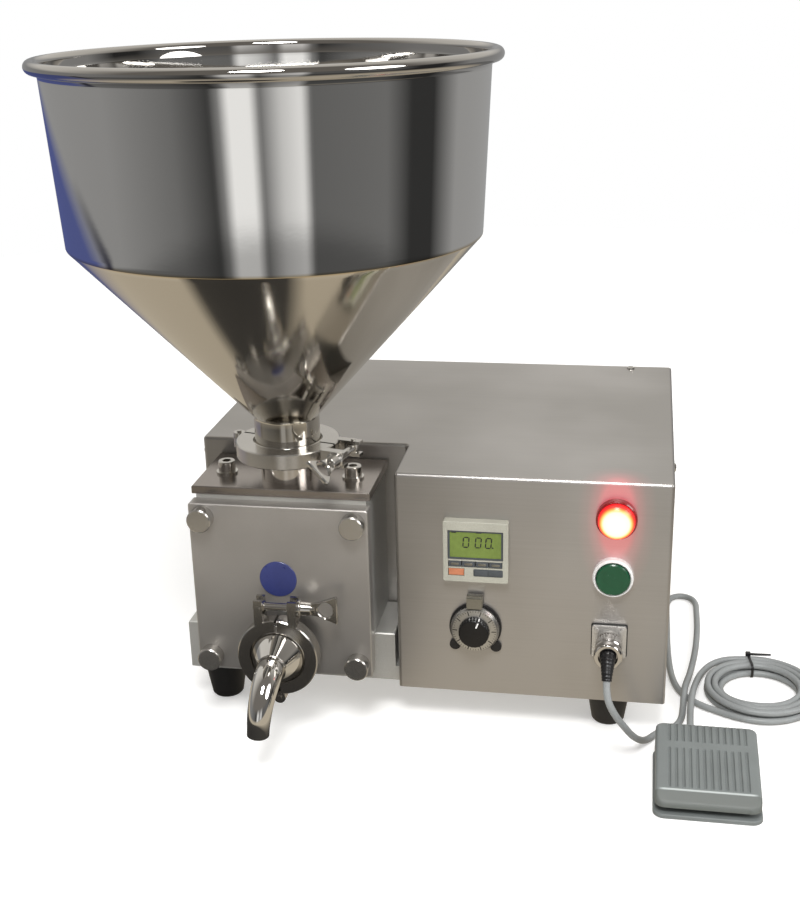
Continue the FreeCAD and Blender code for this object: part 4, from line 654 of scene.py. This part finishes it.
def add_pedal_cover(material):
    """Moulded treadle with a crisp ridge, a steep nose and two rows of shallow grooves."""
    left, right, corner, edge = (PEDAL[key] for key in ("left", "right", "corner", "edge"))
    bends = [edge * (1 - math.cos(math.radians(turn))) for turn in range(0, 91, 15)]
    turns = [corner * (1 - math.cos(math.radians(turn))) for turn in range(0, 91, 9)]
    rows = sorted({round(value, 3) for start, sign in ((PEDAL["front"], 1), (PEDAL["rear"], -1))
                   for value in [start + sign * step for step in bends + turns]}
                  | {-91.5, -91.0, -90.5, -88.6, -88.0, -80.0, -70.0, -60.0, -50.0, -48.6, -48.0, -41.4, -40.8,
                     -30.0})
    rows = [row for place, row in enumerate(rows) if place == 0 or row - rows[place - 1] > 0.02]
    cut = [(0.0, 0.0), (0.3, 0.75), (0.75, 1.0), (1.5, 1.0), (1.95, 0.75), (2.25, 0.0)]
    grooves = [(203.3 + 4.85 * place + step, depth) for place in range(12) for step, depth in cut]
    mesh = bmesh.new()
    grid = []
    for y in rows:
        onward = min(y - PEDAL["front"], PEDAL["rear"] - y)
        inset = corner - math.sqrt(corner ** 2 - (corner - onward) ** 2) if onward < corner else 0.0
        room = min(1.0, 0.8 * (grooves[0][0] - left - inset) / edge)
        wide = [(left + inset + room * step, 0.0) for step in bends]
        wide += grooves + [(right - inset - room * step, 0.0) for step in reversed(bends)]
        deep = 1.15 if -88.1 < y < -48.5 or -40.9 < y < PEDAL["rear"] - 0.9 else 0.0
        grid.append([mesh.verts.new(at(x, y, pedal_level(x, y) - depth * deep)) for x, depth in wide])
    for before, after in zip(grid, grid[1:]):
        for place in range(len(before) - 1):
            mesh.faces.new((before[place], before[place + 1], after[place + 1], after[place]))
    border = grid[0] + [row[-1] for row in grid[1:-1]] + list(reversed(grid[-1])) + [row[0] for row in grid[-2:0:-1]]
    middle, foot = [], []
    for vertex in border:
        spot = vertex.co * 1000 + DATUM
        at_cable = 213.2 < spot.x < 228.8 and spot.y > PEDAL["rear"] - 0.1
        middle.append(mesh.verts.new(at(spot.x, spot.y, 15.0 if at_cable else (spot.z + PEDAL["low"]) / 2)))
        foot.append(mesh.verts.new(at(spot.x, spot.y, PEDAL["low"])))
    for place in range(len(border)):
        after = (place + 1) % len(border)
        mesh.faces.new((border[place], border[after], middle[after], middle[place]))
        if abs(middle[place].co.z - 0.015) > 1e-6 or abs(middle[after].co.z - 0.015) > 1e-6:
            mesh.faces.new((middle[place], middle[after], foot[after], foot[place]))
    piece = show("treadle", mesh, material, body="pedal_treadle")
    pin = bmesh.new()
    lathe(pin, [(0.01, 0.0), (2.25, 0.0), (2.25, 80.0), (0.01, 80.0)], (190.0, -26.7, 10.5),
          Matrix.Rotation(math.radians(90), 3, "Y"), 32)
    hole = new_object("pin_hole", as_data("pin_hole", pin))
    wall = piece.modifiers.new("wall", "SOLIDIFY")
    wall.thickness, wall.offset = 0.0016, -1.0
    drill = piece.modifiers.new("drill", "BOOLEAN")
    drill.operation, drill.solver, drill.object = "DIFFERENCE", "EXACT", hole
    graph = bpy.context.evaluated_depsgraph_get()
    solid = bpy.data.meshes.new_from_object(piece.evaluated_get(graph))
    piece.modifiers.clear()
    piece.data = solid
    solid.shade_smooth()
    solid.set_sharp_from_angle(angle=math.radians(32))
    bpy.data.objects.remove(hole)
    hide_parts("pedal_cover")


def add_dial_marks(dark, white):
    """Strokes of the dial's scale, and the white index line on its knob."""
    mesh = bmesh.new()
    for stroke in range(50):
        turn = Matrix.Rotation(math.tau * stroke / 50, 3, "Z")
        inner = 12.8 if stroke % 5 == 0 else 15.0
        half = 0.34 if stroke % 5 == 0 else 0.14
        corners = []
        for radius, side in ((inner, -half), (16.4, -half), (16.4, half), (inner, half)):
            rise = DIAL_FRONT + 5.62 + (16.6 - radius) * 0.8 / 6.8
            corners.append(turn @ Vector((radius, side, rise)))
        rings = [[new_vertex(mesh, DIAL, FACING_FRONT, corner + Vector((0, 0, lift))) for corner in corners]
                 for lift in (0.0, 0.05)]
        skin(mesh, rings)
        cap(mesh, rings)
    show("scale_strokes", mesh, dark, body="speed_dial")
    mesh = bmesh.new()
    turn = Matrix.Rotation(math.radians(-20), 3, "Z")
    for inner, outer, low, high in ((5.8, 10.1, 11.7, 12.2), (10.7, 11.75, 7.0, 11.0)):
        outline = [turn @ Vector((*corner, 0)) for corner in box_outline(-0.5, 0.5, inner, outer)]
        slab(mesh, [(corner.x, corner.y) for corner in outline], DIAL_FRONT + low, DIAL_FRONT + high, DIAL,
             FACING_FRONT)
    show("knob_index", mesh, white, body="speed_dial")


def add_socket_gasket(material):
    """Thin rubber sheet under the socket's square flange, showing as a dark outline."""
    mesh = bmesh.new()
    slab(mesh, box_outline(-13.3, 13.3, -13.3, 13.3, 1.8, 5), 0.02, 1.0, SOCKET, FACING_FRONT, edge=0.2)
    show("socket_gasket", mesh, material)


def add_cable_tie(material):
    """Narrow black tie round the coil's bundle, its head on top and its long end straight out."""
    angle = math.radians(97.5)
    outward = Vector((math.cos(angle), math.sin(angle), 0.0))
    along = Vector((-math.sin(angle), math.cos(angle), 0.0))
    middle = Vector((COIL[0], COIL[1], 5.4)) + outward * 38.0
    outline = rounded([(-11.0, -5.3), (11.0, -5.3), (11.0, 5.6), (-11.0, 5.6)], 4.0, 6)
    mesh = bmesh.new()
    rings = []
    for grow, side in ((0.0, -1.0), (0.8, -1.0), (0.8, 1.0), (0.0, 1.0)):
        ring = []
        for u, v in outline:
            reach = Vector((u, v)).normalized() * grow
            ring.append(mesh.verts.new(at(*(middle + outward * (u + reach.x)
                                            + Vector((0, 0, max(v + reach.y, -5.3))) + along * side))))
        rings.append(ring)
    skin(mesh, rings, closed_along=True)
    head = middle + outward * 8.0 + Vector((0, 0, 6.6))
    ends = []
    for reach, width, high in ((-2.2, 1.5, 1.1), (-1.8, 1.9, 1.5), (1.6, 1.9, 1.5), (2.0, 1.3, 0.6),
                               (9.0, 1.2, 0.5), (18.0, 1.0, 0.4)):
        spot = head + Vector((reach, 0, 0.0015 * reach * reach))
        ends.append([mesh.verts.new(at(*(spot + Vector((0, side * width, rise * high)))))
                     for side, rise in ((-1, -1), (1, -1), (1, 1), (-1, 1))])
    skin(mesh, ends)
    cap(mesh, ends)
    show("cable_tie", mesh, material, sharp=40.0)


def add_collar(material):
    """Chrome back-shell ring at the plug's cable end."""
    mesh = bmesh.new()
    lathe(mesh, rounded([(6.6, 21.0), (9.2, 20.0), (10.4, 22.0), (10.4, 26.6), (9.4, 28.0), (6.9, 28.0)],
                        [0.2, 0.5, 0.7, 0.7, 0.6, 0.3], 3), SOCKET, FACING_FRONT, 64)
    return show("plug_collar", mesh, material)


def add_boot(material):
    """Ribbed strain-relief boot that droops and thins towards the cable."""
    mesh = bmesh.new()
    rings = []
    steps = 46
    for step in range(steps + 1):
        share = step / steps
        turn = BOOT_DROOP * share
        wave = 0.5 + 0.5 * math.cos(math.tau * share * 9)
        radius = 6.2 + (3.6 - 6.2) * share - (0.35 * (1 - wave) if 0.08 < share < 0.95 else 0.0)
        up = Vector((0.0, -math.sin(turn), math.cos(turn)))
        rings.append(ring_about(mesh, Vector(boot_spot(turn)), Vector((1.0, 0.0, 0.0)), up, radius, 40))
    skin(mesh, rings)
    cap(mesh, rings)
    piece = show("boot", mesh, material, sharp=60.0)
    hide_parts("plug_boot")
    return piece


# ---------------------------------------------------------------- materials

def finish(name, colour, metal, rough, **extra):
    """A Principled material; returns its tree and shader, to be given detail."""
    material = bpy.data.materials.new(name)
    material.use_nodes = True
    tree = Tree(material.node_tree)
    out = tree.add("OutputMaterial")
    shader = tree.add("BsdfPrincipled", Base_Color=colour, Metallic=metal, Roughness=rough, **extra)
    tree.put(out, 0, shader.outputs[0])
    return material, tree, shader


def grain(tree, stretch, detail=2.0, rough=0.5, offset=0.0):
    """Noise on the piece's own coordinates, stretched along an axis."""
    coordinates = tree.add("TexCoord")
    place = tree.add("Mapping", Vector=coordinates.outputs["Object"])
    place.inputs["Scale"].default_value = stretch
    place.inputs["Location"].default_value = (offset, offset, offset)
    noise = tree.add("TexNoise", Vector=place.outputs[0], Scale=1.0, Detail=detail, Roughness=rough)
    return noise.outputs["Fac"]


def give_bump(tree, shader, height, strength, distance):
    bump = tree.add("Bump", Height=height, Strength=strength, Distance=distance)
    tree.put(shader, "Normal", bump.outputs[0])


def brushed(name, colour, dark, rough, strength=0.06, glow=False):
    """Brushed sheet: fine lines across the front and the top, gloss drawn out over them, soft clouds. With glow,
    painted light: a red halo of the lamp, emitted by the sheet itself around the lamp.
    """
    material, tree, shader = finish(name, colour, 1.0, rough, Anisotropic=0.65)
    side, ahead, up = (tree.math("ABSOLUTE", part) for part in tree.facing())
    drawn = tree.add("CombineXYZ", Y=up, Z=tree.math("MAXIMUM", side, ahead))
    tree.put(shader, "Tangent", drawn.outputs[0])
    across = grain(tree, (6.0, 1100.0, 1100.0))
    back = grain(tree, (1100.0, 6.0, 1100.0))
    lines = tree.add("Mix", data_type="FLOAT")
    for place, value in ((0, side), (2, across), (3, back)):
        tree.put(lines, place, value)
    lines = lines.outputs[0]
    clouds = grain(tree, (7.0, 7.0, 5.0), 3.0)
    shade = tree.math("MULTIPLY_ADD", lines, 0.14, tree.math("MULTIPLY", clouds, 0.86))
    tree.put(shader, "Base Color", tree.ramp(shade, (0.36, dark), (0.62, colour)))
    tree.put(shader, "Roughness", tree.math("MULTIPLY_ADD", clouds, 0.14, rough - 0.07))
    give_bump(tree, shader, lines, strength, 0.0001)
    # Painted light: the lamp's red glow on the panel, emitted by the sheet in a halo stretched up and down.
    if glow:
        wide, deep, high = tree.spot(at(*LAMP))
        away = tree.distance(tree.math("MULTIPLY", high, 0.52), tree.math("MULTIPLY", wide, 1.2), deep)
        painted_lamp_halo = tree.ramp(tree.math("DIVIDE", away, 0.034), (0.0, 1.0), (0.42, 0.80), (0.54, 0.36), (0.75, 0.10),
                         (1.0, 0.0))
        tree.put(shader, "Emission Color", tree.mix(painted_lamp_halo, (0.0, 0.0, 0.0, 1.0), (0.62, 0.05, 0.08, 1.0)))
        tree.put(shader, "Emission Strength", 0.85)
    return material


def satin(name, colour, dark, rough, size=420.0, metal=1.0, strength=0.12, painted_low_shade=1.0, stub=False):
    """Bead-blasted or moulded surface: fine grain with slow changes of tone.

    fall darkens it towards the table with painted shade, and stub leaves the welded pipe on the lid polished.
    """
    material, tree, shader = finish(name, colour, metal, rough)
    fine = grain(tree, (size * 4, size * 4, size * 4), 2.0)
    clouds = grain(tree, (14.0, 14.0, 14.0), 3.0, offset=3.0)
    shade = tree.math("MULTIPLY_ADD", fine, 0.35, tree.math("MULTIPLY", clouds, 0.65))
    paint = tree.ramp(shade, (0.36, dark), (0.62, colour))
    haze = tree.math("MULTIPLY_ADD", clouds, 0.14, rough - 0.07)
    # Painted shade: the surface darkens towards the table below.
    if painted_low_shade < 1.0:
        rise = tree.ramp(tree.math("MULTIPLY", tree.spot()[2], 5.0), (0.25, 0.0), (0.85, 1.0))
        paint = tree.mix(rise, shaded(colour, painted_low_shade), paint)
    if stub:
        wide, deep, _ = tree.spot(at(PUMP_X, INLET_Y, 0.0))
        near = tree.math("LESS_THAN", tree.distance(wide, deep), 0.0265)
        pipe = tree.math("MULTIPLY", near, tree.math("LESS_THAN", tree.facing()[2], 0.9))
        paint = tree.mix(pipe, paint, tone(214, 210, 205))
        haze = tree.math("MULTIPLY", haze, tree.math("MULTIPLY_ADD", pipe, -0.45, 1.0))
    tree.put(shader, "Base Color", paint)
    tree.put(shader, "Roughness", haze)
    give_bump(tree, shader, fine, strength, 0.0002)
    return material


def polished(name, colour, rough=0.05, wave=0.0):
    """Mirror-polished steel with faint wipe marks, and the slow waves of spun sheet."""
    material, tree, shader = finish(name, colour, 1.0, rough)
    clouds = grain(tree, (22.0, 22.0, 40.0), 4.0, 0.6)
    tree.put(shader, "Roughness", tree.math("MULTIPLY_ADD", clouds, 0.05, rough - 0.025))
    height = clouds
    if wave:
        height = tree.math("MULTIPLY_ADD", grain(tree, (16.0, 16.0, 9.0), 1.0, offset=2.0), wave, clouds)
    give_bump(tree, shader, height, 0.06, 0.0002)
    return material


def spun(name, colour):
    """The bowl's mirror finish: sharp on the drum, hazier on the cone, with a heat-tinted weld line."""
    material, tree, shader = finish(name, colour, 1.0, 0.04)
    level = tree.math("MULTIPLY", tree.spot()[2], 2.0)
    haze = tree.ramp(level, (0.50, 0.05), (0.70, 0.09), (0.742, 0.07), (0.752, 0.02), (1.0, 0.02))
    clouds = grain(tree, (22.0, 22.0, 40.0), 4.0, 0.6)
    tree.put(shader, "Roughness", tree.math("MULTIPLY_ADD", clouds, 0.03, haze))
    weld = tree.ramp(level, (0.7470, 0.0), (0.7484, 1.0), (0.7500, 1.0), (0.7512, 0.0))
    tint = tree.ramp(level, (0.50, tone(196, 192, 184)), (0.745, tone(206, 201, 192)), (0.751, colour),
                     (0.974, colour), (0.980, tone(196, 193, 189)))
    tree.put(shader, "Base Color", tree.mix(weld, tint, tone(206, 190, 160)))
    slow = grain(tree, (16.0, 16.0, 9.0), 1.0, offset=2.0)
    give_bump(tree, shader, tree.math("MULTIPLY_ADD", slow, 6.0, clouds), 0.07, 0.0002)
    return material


def mottled(tree, colour, size, vary):
    """Fine grain, and a colour that wanders with it and with slow clouds."""
    fine = grain(tree, (size, size, size), 3.0)
    clouds = grain(tree, (30.0, 30.0, 30.0), 2.0, offset=5.0)
    shade = tree.math("MULTIPLY_ADD", fine, 0.4, tree.math("MULTIPLY", clouds, 0.6))
    return fine, tree.ramp(shade, (0.35, shaded(colour, vary)), (0.6, colour))


def plastic(name, colour, rough, size=300.0, strength=0.1, coat=0.0, vary=0.82):
    """Moulded plastic or rubber with a fine texture and slight unevenness of colour."""
    material, tree, shader = finish(name, colour, 0.0, rough, Coat_Weight=coat, Coat_Roughness=0.08)
    fine, paint = mottled(tree, colour, size, vary)
    tree.put(shader, "Base Color", paint)
    tree.put(shader, "Roughness", tree.math("MULTIPLY_ADD", fine, 0.15, rough - 0.07))
    give_bump(tree, shader, fine, strength, 0.0003)
    return material


def treadle_grey(colour):
    """Moulded grey of the treadle, with a painted highlight along its ridge and painted shade on the nose below it.
    """
    material, tree, shader = finish("treadle_grey", colour, 0.0, 0.46)
    fine, paint = mottled(tree, colour, 1400.0, 0.84)
    aside, ahead, _ = tree.spot(at((PEDAL["left"] + PEDAL["right"]) / 2, PEDAL_TOP[1][0], 0.0))
    # Painted shade: the nose in front of the ridge is darkened.
    nose = tree.ramp(tree.math("MULTIPLY_ADD", ahead, 100.0, 0.5), (0.40, 1.0), (0.47, 0.0))
    painted_nose_shade = (colour[0] * 0.6, colour[1] * 0.6, colour[2] * 0.56, 1.0)
    paint = tree.mix(tree.math("MULTIPLY", nose, 0.9), paint, painted_nose_shade)
    # Painted highlight: a pale line along the ridge, fading out towards the sides.
    off = tree.math("DIVIDE", tree.math("ABSOLUTE", ahead), 0.0009)
    sides = tree.math("ABSOLUTE", aside)
    painted_ridge_highlight = tree.math("MULTIPLY", tree.ramp(off, (0.4, 1.0), (1.0, 0.0)),
                     tree.ramp(tree.math("DIVIDE", sides, 0.036), (0.84, 0.85), (0.93, 0.0)))
    tree.put(shader, "Base Color", tree.mix(painted_ridge_highlight, paint, tone(186, 192, 190)))
    tree.put(shader, "Roughness", tree.math("MULTIPLY_ADD", fine, 0.15, 0.39))
    give_bump(tree, shader, fine, 0.3, 0.0003)
    return material


def lamp_glow():
    """Lit lens: white at its heart, yellow, then orange and red at the rim."""
    material, tree, shader = finish("lamp_red", tone(200, 30, 20), 0.0, 0.25)
    wide, _, high = tree.spot(at(*LAMP))
    reach = tree.math("DIVIDE", tree.distance(high, wide), 0.0131)
    heat = tree.ramp(reach, (0.0, (1.0, 1.0, 0.96, 1.0)), (0.68, (1.0, 0.97, 0.78, 1.0)),
                     (0.80, (1.0, 0.72, 0.22, 1.0)), (0.88, (1.0, 0.27, 0.05, 1.0)),
                     (0.94, (0.9, 0.05, 0.03, 1.0)), (1.0, (0.60, 0.01, 0.02, 1.0)))
    tree.put(shader, "Emission Color", heat)
    tree.put(shader, "Emission Strength", 1.15)
    give_bump(tree, shader, grain(tree, (500.0, 500.0, 500.0)), 0.1, 0.0003)
    return material


def dress(names, material):
    """Gives nodes of the part a material."""
    for name in names:
        data = nodes[name].data
        data.materials.clear()
        data.materials.append(material)


def make_materials():
    """A material for each slot of the record, and finer ones for single pieces."""
    sheet = (tone(194, 191, 188), tone(178, 175, 171), 0.36)
    made = {}

    def keep(maker, name, *values, **extra):
        made[name] = maker(name, *values, **extra)

    keep(brushed, "cabinet_steel", *sheet)
    keep(satin, "machined_steel", tone(198, 197, 192), tone(180, 179, 175), 0.40, metal=0.6)
    keep(polished, "polished_steel", tone(222, 220, 216), wave=8.0)
    keep(polished, "screw_steel", tone(200, 197, 192), 0.16)
    keep(plastic, "motor_paint", tone(60, 64, 66), 0.5)
    keep(plastic, "badge_blue", tone(46, 54, 108), 0.3, coat=0.3)
    keep(plastic, "gasket_white", tone(216, 216, 210), 0.6)
    keep(plastic, "foot_rubber", tone(30, 29, 28), 0.55, size=900.0, strength=0.25)
    keep(plastic, "black_plastic", tone(22, 21, 23), 0.36, strength=0.08)
    keep(plastic, "timer_cream", tone(168, 166, 153), 0.42, size=900.0)
    keep(plastic, "display_green", tone(104, 124, 52), 0.12, strength=0.01, coat=1.0)
    keep(plastic, "key_grey", tone(70, 74, 78), 0.55)
    keep(plastic, "key_orange", tone(190, 118, 82), 0.5)
    keep(satin, "dial_silver", tone(206, 205, 202), tone(176, 175, 172), 0.3)
    keep(satin, "lock_grey", tone(172, 170, 162), tone(150, 148, 140), 0.35)
    keep(plastic, "bezel_white", tone(232, 230, 228), 0.2, strength=0.02, coat=0.6)
    keep(plastic, "lamp_collar", tone(128, 18, 20), 0.25, strength=0.02, coat=0.6)
    made["lamp_red"] = lamp_glow()
    keep(plastic, "button_green", tone(3, 70, 42), 0.24, strength=0.02, coat=0.4)
    keep(polished, "connector_chrome", tone(220, 217, 214), 0.12)
    keep(plastic, "cable_grey", tone(138, 141, 141), 0.4, size=700.0, strength=0.06)
    keep(plastic, "pedal_grey", tone(116, 121, 120), 0.46, size=1400.0, strength=0.3)
    for entry in frame["record"]["subparts"]:
        dress([entry["node"]], made[entry["material_slot"]])
    # The cabinet's front gets the painted red glow of the lamp.
    dress(["cabinet_shell"], brushed("cabinet_front_painted_glow", *sheet, glow=True))
    dress(["pump_lid"], satin("lid_steel", tone(176, 169, 163), tone(158, 151, 146), 0.24, stub=True))
    # The cover's lower part gets painted shade towards the table.
    dress(["pump_cover"], satin("cover_steel", tone(196, 192, 187), tone(178, 174, 170), 0.38, metal=0.8, painted_low_shade=0.72))
    cast = satin("cast_steel", tone(206, 203, 198), tone(184, 181, 176), 0.20)
    for joint in ("hopper", "outlet"):
        dress([joint + "_clamp_" + piece for piece in ("slotted_half", "pivot_half")], cast)
    made["cast_steel"] = cast
    dress(["socket_flange"], satin("flange_steel", tone(222, 220, 217), tone(204, 202, 199), 0.28, metal=0.8))
    nuts = satin("nut_steel", tone(196, 193, 188), tone(178, 175, 170), 0.24, metal=0.95)
    dress(["thumb_nut_" + corner for corner in ("bottom_left", "bottom_right", "top_left", "top_right")], nuts)
    return made


add_camera()
add_world()
add_floor()
add_lamp("key", (0.15, -1.5, 2.2), 0.8, 40.0)
add_lamp("fill", (1.9, -0.9, 1.4), 1.2, 20.0)
materials = make_materials()
add_hopper(spun("spun_steel", tone(240, 238, 234)))
add_nozzle(materials["polished_steel"])
across = Matrix.Rotation(math.radians(-14), 3, "Z")
add_wing_nut("hopper_clamp_wing_nut", "hopper_wing_nut",
             Vector((PUMP_X, INLET_Y, 216.0)) + across @ Vector((47.9, 0, 0)),
             across @ Matrix.Rotation(math.radians(45), 3, "Y"), materials["cast_steel"])
add_wing_nut("outlet_clamp_wing_nut", "outlet_wing_nut", (PUMP_X, -36.0, 109.7),
             Matrix(((0, -1, 0), (0, 0, -1), (1, 0, 0))), materials["cast_steel"])
add_digits(materials["black_plastic"])
add_display_frame(materials["key_grey"])
add_key_marks(materials["key_grey"], materials["lock_grey"])
add_knob(plastic("knob_black", tone(10, 9, 11), 0.3, strength=0.05))
add_dial_marks(materials["black_plastic"], materials["bezel_white"])
add_pedal_cover(treadle_grey(tone(116, 121, 120)))
add_socket_gasket(materials["foot_rubber"])
add_cable_tie(materials["black_plastic"])
add_cable(materials["cable_grey"], add_boot(materials["black_plastic"]), add_collar(materials["connector_chrome"]))
